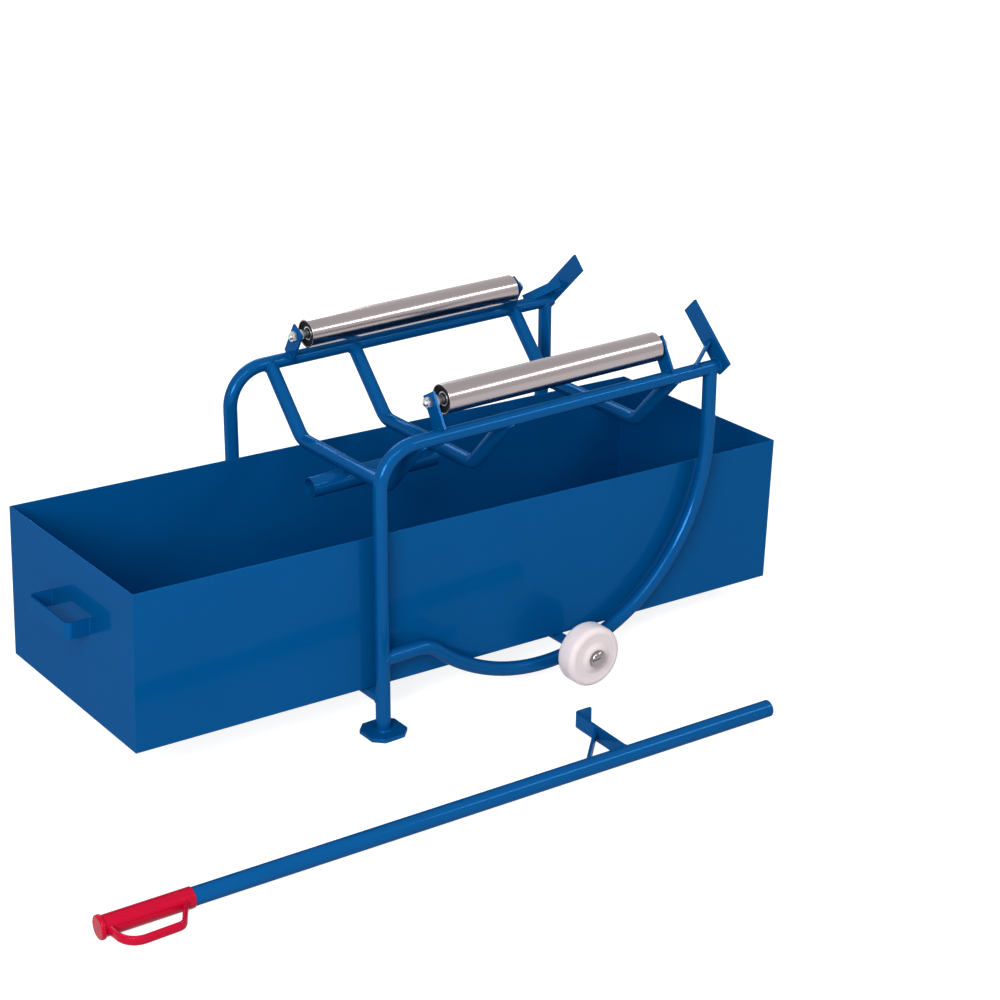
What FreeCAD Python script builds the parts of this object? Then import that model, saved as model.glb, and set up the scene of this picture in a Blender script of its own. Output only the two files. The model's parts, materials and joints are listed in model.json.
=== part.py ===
import FreeCAD, Part
import math
import os
import Sketcher

# Driving dimensions, in millimetres and degrees.
# X runs from the posts towards the drum stops, Y across the frame, Z up from the floor.
SIZES = {
    # Side frames: a post bent into a rail, and a rocker tube below it
    "tube_od": 28.0,
    "tube_wall": 2.0,
    "frame_width": 524.0,
    "rail_height": 556.5,
    "rail_length": 790.0,
    "post_bend_radius": 75.0,
    "rail_overhang": 16.5,
    "rocker_floor_gap": 21.0,
    "rocker_toe_run": 76.1,
    "rocker_toe_height": 150.3,
    "rocker_toe_radius": 75.0,
    "foot_width": 79.0,
    "foot_clip": 18.5,
    "foot_thickness": 8.0,
    "low_tube_height": 72.0,
    # Cradle tubes under the drum and the lever socket below them
    "cradle_front_x": 92.5,
    "cradle_middle_x": 288.0,
    "cradle_rear_gap": 103.0,
    "cradle_height": 432.5,
    "cradle_corner": 147.0,
    "cradle_bend_radius": 40.0,
    "socket_od": 40.0,
    "socket_bore": 34.0,
    "socket_mouth_x": 15.0,
    "socket_tail": 12.0,
    # Drum stops at the end of the rails
    "stop_angle": 44.0,
    "stop_width": 40.0,
    "stop_thickness": 6.0,
    "stop_length": 150.0,
    "stop_overhang": 17.5,
    "stop_offset": 12.5,
    "strut_width": 20.0,
    "strut_thickness": 5.0,
    "strut_foot": 66.0,
    "strut_rise": 47.0,
    # Rollers on fixed axles between leaning brackets
    "bracket_angle": 60.0,
    "bracket_width": 35.0,
    "bracket_thickness": 5.0,
    "bracket_foot": 9.0,
    "bracket_head": 16.0,
    "roller_front_gap": 157.0,
    "roller_rear_gap": 133.0,
    "roller_end_gap": 19.0,
    "roller_tail_gap": 11.0,
    "roller_rise": 65.5,
    "roller_od": 57.0,
    "roller_wall": 3.0,
    "roller_axle_od": 12.0,
    "roller_axle_stub": 14.0,
    "roller_nut_width": 19.0,
    "roller_nut_height": 10.0,
    "roller_sleeve_od": 17.0,
    "bearing_width": 14.0,
    "bearing_recess": 3.0,
    "bearing_dish": 2.0,
    "bearing_dish_od": 40.0,
    "bearing_hub_od": 22.0,
    # Wheels on one axle bar across the rockers
    "axle_x": 434.5,
    "axle_od": 20.0,
    "axle_notch": 2.0,
    "axle_stub": 6.0,
    "wheel_width": 46.0,
    "wheel_side_gap": 24.0,
    "wheel_edge_radius": 8.0,
    "wheel_web_od": 92.0,
    "wheel_web_depth": 2.0,
    "wheel_hub_od": 58.0,
    "wheel_hub_inner": 6.0,
    "wheel_hub_outer": 4.0,
    "wheel_sleeve_od": 28.0,
    "cap_od": 40.0,
    "cap_rim": 4.0,
    "cap_dome": 14.0,
    "cap_wall": 1.5,
    # Drip tray, loose on the low tube and the wheel axle
    "tray_length": 1466.0,
    "tray_side_gap": 9.0,
    "tray_height": 300.0,
    "tray_sheet": 3.0,
    "tray_overhang": 499.6,
    "handle_width": 153.0,
    "handle_reach": 45.0,
    "handle_height": 31.0,
    "handle_thickness": 5.0,
    "handle_bend_radius": 9.0,
    "handle_level": 178.0,
    # Lever, loose on the floor beside the frame
    "lever_od": 32.0,
    "lever_wall": 3.0,
    "lever_length": 1364.0,
    "lever_tip_x": 621.5,
    "lever_tip_y": -627.5,
    "lever_yaw": -2.59,
    "grip_od": 36.5,
    "grip_length": 167.0,
    "grip_end_wall": 7.0,
    "grip_flange_od": 42.0,
    "grip_flange_width": 9.0,
    "grip_edge_radius": 2.0,
    "guard_thickness": 9.0,
    "guard_height": 16.0,
    "guard_reach": 66.0,
    "guard_end": 157.0,
    "guard_slant": 36.0,
    "guard_run": 98.0,
    "guard_foot": 6.0,
    "guard_bend_radius": 18.0,
    "guard_end_radius": 34.0,
    "hook_root": 328.0,
    "hook_height": 29.0,
    "hook_thickness": 6.0,
    "hook_reach": 163.0,
    "hook_lip": 35.0,
    "hook_bend_radius": 9.0,
    "hook_strut_width": 20.0,
    "hook_strut_foot": 90.0,
    "hook_strut_rise": 94.0,
    # Fits and gaps
    "weld_gap": 0.1,
    "running_gap": 0.05,
    "rest_gap": 0.3,
    "end_play": 0.5,
    "cut_overrun": 60.0,
}

ORIGIN = FreeCAD.Vector(0, 0, 0)
X_AXIS = FreeCAD.Vector(1, 0, 0)
Y_AXIS = FreeCAD.Vector(0, 1, 0)
Z_AXIS = FreeCAD.Vector(0, 0, 1)
# Sides of the frame as seen by someone behind the posts who faces the drum stops.
SIDES = {"right": -1, "left": 1}

doc = FreeCAD.newDocument("drum_tipper")
sheet = doc.addObject("Spreadsheet::Sheet", "sizes")
for row, (alias, value) in enumerate(SIZES.items(), start=1):
    sheet.set(f"A{row}", str(value))
    sheet.setAlias(f"A{row}", alias)
doc.recompute()
nodes = []


def size(alias):
    """One driving dimension, read from the sheet."""
    return float(sheet.get(alias))


def vec(x, y, z=0.0):
    return FreeCAD.Vector(x, y, z)


def turn(axis, degrees):
    return FreeCAD.Rotation(axis, degrees)


def keep(node, label, placement=None):
    """Name a finished sub-part and put it in its place."""
    node.Label = label
    if placement is not None:
        node.Placement = placement
    nodes.append(node)
    return node


def bind(target, **rules):
    """Bind properties of an object to formulas over the sheet's cells."""
    for name, rule in rules.items():
        target.setExpression(name, rule)


def new_body(name):
    return doc.addObject("PartDesign::Body", name)


def plane(body, role):
    return next(item for item in body.Origin.OriginFeatures if item.Role == role)


def sketch_on(body, role, name):
    sketch = body.newObject("Sketcher::SketchObject", name)
    sketch.AttachmentSupport = [(plane(body, role), "")]
    sketch.MapMode = "FlatFace"
    return sketch


def tie(sketch, kind, *parts, rule):
    """Add a dimension whose value is a formula over the sheet."""
    index = sketch.addConstraint(Sketcher.Constraint(kind, *parts))
    sketch.setExpression(f"Constraints[{index}]", rule)


def meet(sketch, first, second, kind):
    """Join the two nearest ends of neighbouring curves."""
    pairs = [(a, b) for a in (1, 2) for b in (1, 2)]

    def apart(pair):
        return sketch.getPoint(first, pair[0]).distanceToPoint(sketch.getPoint(second, pair[1]))

    a, b = min(pairs, key=apart)
    sketch.addConstraint(Sketcher.Constraint(kind, first, a, second, b))


def rounded_path(points, radii):
    """Lines through the points, with an arc of the given radius at every inner corner."""
    curves = []
    start = points[0]
    for before, corner, after, radius in zip(points, points[1:], points[2:], radii):
        inward = (before - corner).normalize()
        outward = (after - corner).normalize()
        half = inward.getAngle(outward) / 2
        setback = radius / math.tan(half)
        first = corner + inward * setback
        last = corner + outward * setback
        middle = corner + (inward + outward).normalize() * (radius / math.sin(half) - radius)
        curves.append(Part.LineSegment(start, first))
        curves.append(Part.Arc(first, middle, last))
        start = last
    curves.append(Part.LineSegment(start, points[-1]))
    return curves


def draw_path(sketch, curves):
    """Draw tangent curves one after another."""
    for curve in curves:
        sketch.addGeometry(curve)
    for index in range(len(curves) - 1):
        meet(sketch, index, index + 1, "Tangent")


def draw_outline(sketch, points):
    """Draw a closed outline of straight edges."""
    for first, last in zip(points, points[1:] + points[:1]):
        sketch.addGeometry(Part.LineSegment(first, last))
    count = len(points)
    for index in range(count):
        sketch.addConstraint(Sketcher.Constraint("Coincident", index, 2, (index + 1) % count, 1))


def sweep(body, path, od, wall):
    """Sweep a tube along a path from its first end."""
    ring = body.newObject("Sketcher::SketchObject", "section")
    ring.AttachmentSupport = [(path, "Edge1")]
    ring.MapMode = "NormalToEdge"
    radii = [
        (size(od) / 2, f"sizes.{od} / 2"),
        (size(od) / 2 - size(wall), f"sizes.{od} / 2 - sizes.{wall}"),
    ]
    for index, (radius, rule) in enumerate(radii):
        ring.addGeometry(Part.Circle(ORIGIN, Z_AXIS, radius))
        ring.addConstraint(Sketcher.Constraint("Coincident", index, 3, -1, 1))
        tie(ring, "Radius", index, radius, rule=rule)
    doc.recompute()
    pipe = body.newObject("PartDesign::AdditivePipe", "tube")
    pipe.Profile = ring
    pipe.Spine = path
    doc.recompute()
    return pipe


def cope(body, middle, axis, od, gap):
    """Cut the seat of a round bar that crosses the body at a point along an axis."""
    reach = size("cut_overrun") * 2
    cut = body.newObject("PartDesign::SubtractiveCylinder", "cope")
    cut.AttachmentSupport = [(plane(body, "XY_Plane"), "")]
    cut.MapMode = "FlatFace"
    bind(cut, Radius=f"sizes.{od} / 2 + sizes.{gap}", Height="sizes.cut_overrun * 2")
    cut.AttachmentOffset = FreeCAD.Placement(middle - axis * (reach / 2), FreeCAD.Rotation(Z_AXIS, axis))
    doc.recompute()


def plate(body, role, points, thickness, ties=(), hole=None):
    """Pad a closed outline to both sides of its plane, with an optional round hole."""
    sketch = sketch_on(body, role, "outline")
    draw_outline(sketch, points)
    for kind, parts, rule in ties:
        tie(sketch, kind, *parts, rule=rule)
    if hole:
        centre, radius, rule = hole
        circle = len(points)
        sketch.addGeometry(Part.Circle(centre, Z_AXIS, radius))
        tie(sketch, "Radius", circle, radius, rule=rule)
    pad = body.newObject("PartDesign::Pad", "plate")
    pad.Profile = sketch
    pad.SideType = "Symmetric"
    pad.setExpression("Length", f"sizes.{thickness}")
    doc.recompute()


def revolve(body, points):
    """Turn an outline of (along, radius) points round the body's X axis."""
    sketch = sketch_on(body, "XY_Plane", "outline")
    draw_outline(sketch, [vec(along, radius) for along, radius in points])
    turned = body.newObject("PartDesign::Revolution", "turned")
    turned.Profile = sketch
    turned.ReferenceAxis = (sketch, ["H_Axis"])
    doc.recompute()
    return turned


def straight_tube(name, od, bore, length_rule):
    """A plain tube along Z from Z = 0; bore and length are formulas over the sheet."""
    outer = doc.addObject("Part::Cylinder", f"{name}_outer")
    bind(outer, Radius=f"{od} / 2", Height=length_rule)
    inner = doc.addObject("Part::Cylinder", f"{name}_inner")
    bind(inner, Radius=f"{bore} / 2", Height=f"{length_rule} + sizes.cut_overrun * 2")
    inner.Placement = FreeCAD.Placement(-Z_AXIS * size("cut_overrun"), FreeCAD.Rotation())
    tube = doc.addObject("Part::Cut", name)
    tube.Base = outer
    tube.Tool = inner
    return tube


def gather(name, shapes):
    """Join the pieces of one group, such as a pair of nuts, under one name."""
    group = doc.addObject("Part::Compound", name)
    group.Links = shapes
    return group


# Places that follow from the driving dimensions.
half_width = size("frame_width") / 2
tube_radius = size("tube_od") / 2
rail_height = size("rail_height")
rocker_x = size("rail_length") - size("rail_overhang")
roller_length = size("rail_length") - size("roller_front_gap") - size("roller_rear_gap")
CRADLE_PLACES = {
    "front": size("cradle_front_x"),
    "middle": size("cradle_middle_x"),
    "rear": size("rail_length") - size("cradle_rear_gap"),
}
toe_radius = size("rocker_toe_radius")
# The rocking arc touches the drop tube, its lowest level and the toe bend, which fixes its radius.
arc_run = rocker_x - size("rocker_toe_run") + toe_radius
arc_rise = size("rocker_toe_height") - size("rocker_floor_gap") - tube_radius
rocker_radius = arc_run + arc_rise - math.sqrt(2 * arc_run * arc_rise) - toe_radius
rocker_centre = vec(rocker_x - rocker_radius, size("rocker_floor_gap") + tube_radius + rocker_radius)
# The wheel axle lies in a shallow notch on top of both rockers.
axle_offset = size("axle_x") - rocker_centre.x
rocker_level = rocker_centre.y - math.sqrt(rocker_radius ** 2 - axle_offset ** 2)
wheel_radius = rocker_level + tube_radius + size("axle_od") / 2 - size("axle_notch")
wheel_inset = half_width + tube_radius + size("wheel_side_gap")
hub_face = wheel_inset + size("wheel_width") + size("wheel_hub_outer")
axle_end = hub_face + size("axle_stub")
tray_width = (half_width - tube_radius - size("tray_side_gap")) * 2
ROLLER_RULE = "(sizes.rail_length - sizes.roller_front_gap - sizes.roller_rear_gap)"
RUN_RULE = "(sizes.rail_length - sizes.rail_overhang - sizes.rocker_toe_run + sizes.rocker_toe_radius)"
RISE_RULE = "(sizes.rocker_toe_height - sizes.rocker_floor_gap - sizes.tube_od / 2)"
ROCKER_RULE = f"({RUN_RULE} + {RISE_RULE} - sqrt(2 * {RUN_RULE} * {RISE_RULE}) - sizes.rocker_toe_radius)"
WHEEL_INSET_RULE = "((sizes.frame_width + sizes.tube_od) / 2 + sizes.wheel_side_gap)"
AXLE_END_RULE = f"({WHEEL_INSET_RULE} + sizes.wheel_width + sizes.wheel_hub_outer + sizes.axle_stub)"
TRAY_WIDTH_RULE = "(sizes.frame_width - sizes.tube_od - sizes.tray_side_gap * 2)"


def post_rail(label, side):
    """A post bent forward into the rail that carries the cradle."""
    body = new_body(label)
    path = sketch_on(body, "XZ_Plane", "centreline")
    foot = size("foot_thickness")
    corners = [vec(0, foot), vec(0, rail_height), vec(size("rail_length"), rail_height)]
    draw_path(path, rounded_path(corners, [size("post_bend_radius")]))
    path.addConstraint(Sketcher.Constraint("Vertical", 0))
    path.addConstraint(Sketcher.Constraint("Horizontal", 2))
    path.addConstraint(Sketcher.Constraint("PointOnObject", 0, 1, -2))
    tie(path, "DistanceY", -1, 1, 0, 1, foot, rule="sizes.foot_thickness")
    tie(path, "Radius", 1, size("post_bend_radius"), rule="sizes.post_bend_radius")
    tie(path, "DistanceY", -1, 1, 2, 2, rail_height, rule="sizes.rail_height")
    tie(path, "DistanceX", -1, 1, 2, 2, size("rail_length"), rule="sizes.rail_length")
    sweep(body, path, "tube_od", "tube_wall")
    keep(body, label, FreeCAD.Placement(vec(0, side * half_width), FreeCAD.Rotation()))


def rocker(label, side):
    """A rocker tube: straight drop, large rocking arc and a reverse bend into the post."""
    body = new_body(label)
    path = sketch_on(body, "XZ_Plane", "centreline")
    toe = size("rocker_toe_height")
    # The two arcs touch on the line between their centres.
    lean = math.acos((rocker_centre.y + toe_radius - toe) / (rocker_radius + toe_radius))
    toward = vec(-math.sin(lean), -math.cos(lean))
    touch = rocker_centre + toward * rocker_radius
    toe_centre = touch + toward * toe_radius
    toe_start = toe_centre + vec(0, toe_radius)
    toe_middle = toe_centre + vec(math.sin(lean / 2), math.cos(lean / 2)) * toe_radius
    drop = vec(rocker_x, rocker_centre.y)
    sweep_half = (math.pi / 2 - lean) / 2
    arc_middle = rocker_centre + vec(math.sin(sweep_half), -math.cos(sweep_half)) * rocker_radius
    draw_path(path, [
        Part.LineSegment(vec(rocker_x, rail_height), drop),
        Part.Arc(drop, arc_middle, touch),
        Part.Arc(touch, toe_middle, toe_start),
        Part.LineSegment(toe_start, vec(0, toe)),
    ])
    path.addConstraint(Sketcher.Constraint("Vertical", 0))
    path.addConstraint(Sketcher.Constraint("Horizontal", 3))
    path.addConstraint(Sketcher.Constraint("PointOnObject", 3, 2, -2))
    tie(path, "DistanceX", -1, 1, 0, 1, rocker_x, rule="sizes.rail_length - sizes.rail_overhang")
    tie(path, "DistanceY", -1, 1, 0, 1, rail_height, rule="sizes.rail_height")
    tie(path, "Radius", 1, rocker_radius, rule=ROCKER_RULE)
    tie(path, "Radius", 2, toe_radius, rule="sizes.rocker_toe_radius")
    tie(path, "DistanceY", -1, 1, 3, 2, toe, rule="sizes.rocker_toe_height")
    centre_rule = f"sizes.rocker_floor_gap + sizes.tube_od / 2 + {ROCKER_RULE}"
    tie(path, "DistanceY", -1, 1, 1, 3, rocker_centre.y, rule=centre_rule)
    sweep(body, path, "tube_od", "tube_wall")
    cope(body, vec(rocker_x, 0, rail_height), X_AXIS, "tube_od", "weld_gap")
    cope(body, vec(0, 0, toe), Z_AXIS, "tube_od", "weld_gap")
    cope(body, vec(size("axle_x"), 0, wheel_radius), Y_AXIS, "axle_od", "weld_gap")
    keep(body, label, FreeCAD.Placement(vec(0, side * half_width), FreeCAD.Rotation()))


def foot_plate(label, side):
    """A square foot with clipped corners under a post."""
    body = new_body(label)
    half = size("foot_width") / 2
    short = half - size("foot_clip")
    corners = [vec(half, -short), vec(half, short), vec(short, half), vec(-short, half)]
    corners += [-corner for corner in corners]
    ties = [
        ("DistanceX", (0, 1, half), "sizes.foot_width / 2"),
        ("DistanceY", (0, 1, 0, 2, short * 2), "sizes.foot_width - sizes.foot_clip * 2"),
    ]
    plate(body, "XY_Plane", corners, "foot_thickness", ties)
    middle = vec(0, side * half_width, size("foot_thickness") / 2)
    keep(body, label, FreeCAD.Placement(middle, FreeCAD.Rotation()))


def cradle_tube(label, along):
    """A tube bent into a wide U that hangs between the rails at a place along them."""
    body = new_body(label)
    path = sketch_on(body, "YZ_Plane", "centreline")
    level = size("cradle_height")
    corner = size("cradle_corner")
    bend = size("cradle_bend_radius")
    points = [
        vec(-half_width, rail_height), vec(-corner, level), vec(corner, level), vec(half_width, rail_height),
    ]
    draw_path(path, rounded_path(points, [bend, bend]))
    for end, sign in ((0, 1), (4, 2)):
        tie(path, "DistanceY", -1, 1, end, sign, rail_height, rule="sizes.rail_height")
    tie(path, "DistanceX", 0, 1, 4, 2, size("frame_width"), rule="sizes.frame_width")
    tie(path, "DistanceX", -1, 1, 4, 2, half_width, rule="sizes.frame_width / 2")
    for arc in (1, 3):
        tie(path, "Radius", arc, bend, rule="sizes.cradle_bend_radius")
    path.addConstraint(Sketcher.Constraint("Horizontal", 2))
    tie(path, "DistanceY", -1, 1, 2, 1, level, rule="sizes.cradle_height")
    sweep(body, path, "tube_od", "tube_wall")
    for side in SIDES.values():
        cope(body, vec(0, side * half_width, rail_height), X_AXIS, "tube_od", "weld_gap")
    keep(body, label, FreeCAD.Placement(vec(along, 0), FreeCAD.Rotation()))


def low_cross_tube(label):
    """A straight tube between the posts that also carries the front of the tray."""
    body = new_body(label)
    path = sketch_on(body, "YZ_Plane", "centreline")
    level = size("low_tube_height")
    path.addGeometry(Part.LineSegment(vec(-half_width, level), vec(half_width, level)))
    path.addConstraint(Sketcher.Constraint("Horizontal", 0))
    tie(path, "DistanceY", -1, 1, 0, 1, level, rule="sizes.low_tube_height")
    tie(path, "DistanceX", 0, 1, 0, 2, size("frame_width"), rule="sizes.frame_width")
    tie(path, "DistanceX", -1, 1, 0, 2, half_width, rule="sizes.frame_width / 2")
    sweep(body, path, "tube_od", "tube_wall")
    for side in SIDES.values():
        cope(body, vec(0, side * half_width, level), Z_AXIS, "tube_od", "weld_gap")
    keep(body, label)


def lever_socket(label):
    """The open tube under the front and middle cradle tubes that takes the lever."""
    length_rule = "(sizes.cradle_middle_x + sizes.socket_tail - sizes.socket_mouth_x)"
    tube = straight_tube(label, "sizes.socket_od", "sizes.socket_bore", length_rule)
    level = size("cradle_height") - tube_radius - size("weld_gap") - size("socket_od") / 2
    keep(tube, label, FreeCAD.Placement(vec(size("socket_mouth_x"), 0, level), turn(Y_AXIS, 90)))


def slanted(side, alias):
    """Turn that lays local Y along a piece that leans inward from a rail by the named angle."""
    degrees = size(alias)
    return turn(X_AXIS, degrees if side < 0 else 180 - degrees)


def stop_frame(side):
    """Frame of a drum stop: local Y up along the bar, local Z across it, X along the rail."""
    tilt = slanted(side, "stop_angle")
    across = tilt.multVec(Z_AXIS) * (-side * size("stop_offset"))
    return FreeCAD.Placement(vec(size("rail_length"), side * half_width, rail_height) + across, tilt)


def stop_bar(label, side):
    """A flat bar across the rail's end that the drum's bottom leans on."""
    body = new_body(label)
    low = -size("stop_overhang")
    high = low + size("stop_length")
    half = size("stop_width") / 2
    corners = [vec(low, -half), vec(high, -half), vec(high, half), vec(low, half)]
    ties = [
        ("DistanceX", (0, 1, 0, 2, high - low), "sizes.stop_length"),
        ("DistanceY", (1, 1, 1, 2, half * 2), "sizes.stop_width"),
    ]
    plate(body, "YZ_Plane", corners, "stop_thickness", ties)
    out = X_AXIS * (size("stop_thickness") / 2 + size("weld_gap"))
    place = stop_frame(side)
    keep(body, label, FreeCAD.Placement(place.Base + out, place.Rotation))


def stop_strut(label, side):
    """A short flat strut from the rail up to the middle of a stop bar."""
    body = new_body(label)
    foot = vec(-size("strut_foot"), 0)
    head = vec(0, size("strut_rise"))
    along = (head - foot).normalize()
    across = vec(-along.y, along.x) * (size("strut_thickness") / 2)
    slope = along.x / along.y
    left = head + across
    right = head - across
    # Both long edges run on to the bar's face at local X = 0.
    corners = [
        foot - across,
        vec(0, right.y - right.x / slope),
        vec(0, left.y - left.x / slope),
        foot + across,
    ]
    plate(body, "XY_Plane", corners, "strut_width")
    across_rail = -side * size("stop_offset")
    seat = body.newObject("PartDesign::SubtractiveCylinder", "cope")
    seat.AttachmentSupport = [(plane(body, "XY_Plane"), "")]
    seat.MapMode = "FlatFace"
    bind(seat, Radius="sizes.tube_od / 2 + sizes.weld_gap", Height="sizes.cut_overrun * 4")
    start = vec(-size("cut_overrun") * 2, 0, -across_rail)
    seat.AttachmentOffset = FreeCAD.Placement(start, FreeCAD.Rotation(Z_AXIS, X_AXIS))
    doc.recompute()
    keep(body, label, stop_frame(side))


def roller_bracket(label, side, middle):
    """A flat bar that leans inward from the rail and holds one end of a roller axle."""
    body = new_body(label)
    rise = size("roller_rise")
    top = rise + size("bracket_head")
    half = size("bracket_width") / 2
    foot = size("bracket_foot")
    corners = [vec(foot, -half), vec(top, -half), vec(top, half), vec(foot, half)]
    length_rule = "sizes.roller_rise + sizes.bracket_head - sizes.bracket_foot"
    ties = [
        ("DistanceX", (0, 1, 0, 2, top - foot), length_rule),
        ("DistanceY", (1, 1, 1, 2, half * 2), "sizes.bracket_width"),
    ]
    bore = size("roller_axle_od") / 2 + size("running_gap")
    hole = (vec(rise, 0), bore, "sizes.roller_axle_od / 2 + sizes.running_gap")
    plate(body, "YZ_Plane", corners, "bracket_thickness", ties, hole)
    cope(body, ORIGIN, X_AXIS, "tube_od", "weld_gap")
    place = FreeCAD.Placement(vec(middle, side * half_width, rail_height), slanted(side, "bracket_angle"))
    keep(body, label, place)


def roller_axis(side):
    """Height and side of a roller's axis, found along the bracket from the rail."""
    lean = math.radians(size("bracket_angle"))
    inward = half_width - size("roller_rise") * math.cos(lean)
    return vec(0, side * inward, rail_height + size("roller_rise") * math.sin(lean))


def hex_nut(name, start, axis_point):
    """A plain hexagon nut on a roller axle, from the given X."""
    blank = doc.addObject("Part::Prism", f"{name}_blank")
    bind(blank, Circumradius="sizes.roller_nut_width / sqrt(3)", Height="sizes.roller_nut_height")
    bore = doc.addObject("Part::Cylinder", f"{name}_bore")
    bind(bore, Radius="sizes.roller_axle_od / 2", Height="sizes.roller_nut_height")
    nut = doc.addObject("Part::Cut", name)
    nut.Base = blank
    nut.Tool = bore
    nut.Placement = FreeCAD.Placement(axis_point + X_AXIS * start, turn(Y_AXIS, 90))
    return nut


def roller(side_name, side):
    """One roller: fixed axle, nuts, sleeves, brackets, turning shell and its end bearings."""
    axis = roller_axis(side)
    thick = size("bracket_thickness")
    shell_start = size("roller_front_gap")
    shell_end = shell_start + roller_length
    front = shell_start - size("roller_end_gap") - thick
    rear = shell_end + size("roller_tail_gap")
    for end, start in (("front", front), ("rear", rear)):
        roller_bracket(f"roller_bracket_{side_name}_{end}", side, start + thick / 2)
    stub = size("roller_axle_stub")
    rod = doc.addObject("Part::Cylinder", f"roller_axle_{side_name}")
    gap_rule = "(sizes.roller_end_gap + sizes.roller_tail_gap)"
    stub_rule = "(sizes.bracket_thickness + sizes.roller_axle_stub)"
    length_rule = f"{ROLLER_RULE} + {gap_rule} + {stub_rule} * 2"
    bind(rod, Radius="sizes.roller_axle_od / 2", Height=length_rule)
    keep(rod, f"roller_axle_{side_name}", FreeCAD.Placement(axis + X_AXIS * (front - stub), turn(Y_AXIS, 90)))
    high = size("roller_nut_height")
    outer = [hex_nut(f"outer_nut_{side_name}_{end}", start, axis)
             for end, start in (("front", front - high), ("rear", rear + thick))]
    keep(gather(f"roller_outer_nuts_{side_name}", outer), f"roller_outer_nuts_{side_name}")
    inner = [hex_nut(f"inner_nut_{side_name}_{end}", start, axis)
             for end, start in (("front", front + thick), ("rear", rear - high))]
    keep(gather(f"roller_inner_nuts_{side_name}", inner), f"roller_inner_nuts_{side_name}")
    recess = size("bearing_recess")
    play = size("end_play")
    seat_rule = "(sizes.roller_nut_height - sizes.bearing_recess + sizes.end_play)"
    ends = (
        ("front", front + thick + high, "sizes.roller_end_gap"),
        ("rear", shell_end - recess + play, "sizes.roller_tail_gap"),
    )
    sleeves = []
    for end, start, gap in ends:
        name = f"sleeve_{side_name}_{end}"
        length = f"({gap} - {seat_rule})"
        sleeve = straight_tube(name, "sizes.roller_sleeve_od", "sizes.roller_axle_od", length)
        sleeve.Placement = FreeCAD.Placement(axis + X_AXIS * start, turn(Y_AXIS, 90))
        sleeves.append(sleeve)
    keep(gather(f"roller_sleeves_{side_name}", sleeves), f"roller_sleeves_{side_name}")
    bore = "(sizes.roller_od - sizes.roller_wall * 2)"
    shell = straight_tube(f"roller_shell_{side_name}", "sizes.roller_od", bore, ROLLER_RULE)
    keep(shell, f"roller_shell_{side_name}", FreeCAD.Placement(axis + X_AXIS * shell_start, turn(Y_AXIS, 90)))
    for end, face, facing in (("front", shell_start + recess, 0), ("rear", shell_end - recess, 180)):
        label = f"roller_bearing_{side_name}_{end}"
        keep(roller_bearing(label), label, FreeCAD.Placement(axis + X_AXIS * face, turn(Z_AXIS, facing)))


def roller_bearing(label):
    """A bearing insert with a dished outer face, pressed into a shell's end."""
    body = new_body(label)
    bore = size("roller_axle_od") / 2 + size("running_gap")
    outer = size("roller_od") / 2 - size("roller_wall")
    width = size("bearing_width")
    dish = size("bearing_dish")
    revolve(body, [
        (0, bore),
        (0, size("bearing_hub_od") / 2),
        (dish, size("bearing_hub_od") / 2),
        (dish, size("bearing_dish_od") / 2),
        (0, size("bearing_dish_od") / 2),
        (0, outer),
        (width, outer),
        (width, bore),
    ])
    return body


def wheel_axle(label):
    """One round bar across both rockers."""
    rod = doc.addObject("Part::Cylinder", label)
    bind(rod, Radius="sizes.axle_od / 2", Height=f"{AXLE_END_RULE} * 2")
    base = vec(size("axle_x"), axle_end, wheel_radius)
    keep(rod, label, FreeCAD.Placement(base, turn(X_AXIS, 90)))


def axle_place(side, distance):
    """Frame on the wheel axle whose local X points out of the given side."""
    base = vec(size("axle_x"), side * distance, wheel_radius)
    return FreeCAD.Placement(base, turn(Z_AXIS, side * 90))


def wheel(label, side):
    """A solid wheel with rounded tread edges, a stepped face and a hub boss on both sides."""
    body = new_body(label)
    bore = size("axle_od") / 2 + size("running_gap")
    tread = wheel_radius
    width = size("wheel_width")
    hub = size("wheel_hub_od") / 2
    web = size("wheel_web_od") / 2
    depth = size("wheel_web_depth")
    inner = -size("wheel_hub_inner")
    outer = width + size("wheel_hub_outer")
    turned = revolve(body, [
        (inner, bore), (inner, hub), (depth, hub), (depth, web), (0, web), (0, tread),
        (width, tread), (width, web), (width - depth, web), (width - depth, hub), (outer, hub), (outer, bore),
    ])
    rims = [f"Edge{index}" for index, edge in enumerate(turned.Shape.Edges, start=1)
            if hasattr(edge.Curve, "Radius") and abs(edge.Curve.Radius - tread) < size("running_gap")]
    edge_round = body.newObject("PartDesign::Fillet", "tread_edges")
    edge_round.Base = (turned, rims)
    edge_round.setExpression("Radius", "sizes.wheel_edge_radius")
    doc.recompute()
    keep(body, label, axle_place(side, wheel_inset))


def wheel_sleeve(label, side):
    """A sleeve on the axle that keeps a wheel clear of the rocker tube."""
    start = half_width + tube_radius + size("weld_gap")
    rule = "(sizes.wheel_side_gap - sizes.wheel_hub_inner - sizes.end_play - sizes.weld_gap)"
    sleeve = straight_tube(label, "sizes.wheel_sleeve_od", "sizes.axle_od", rule)
    base = vec(size("axle_x"), side * start, wheel_radius)
    keep(sleeve, label, FreeCAD.Placement(base, turn(X_AXIS, -side * 90)))


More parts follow.
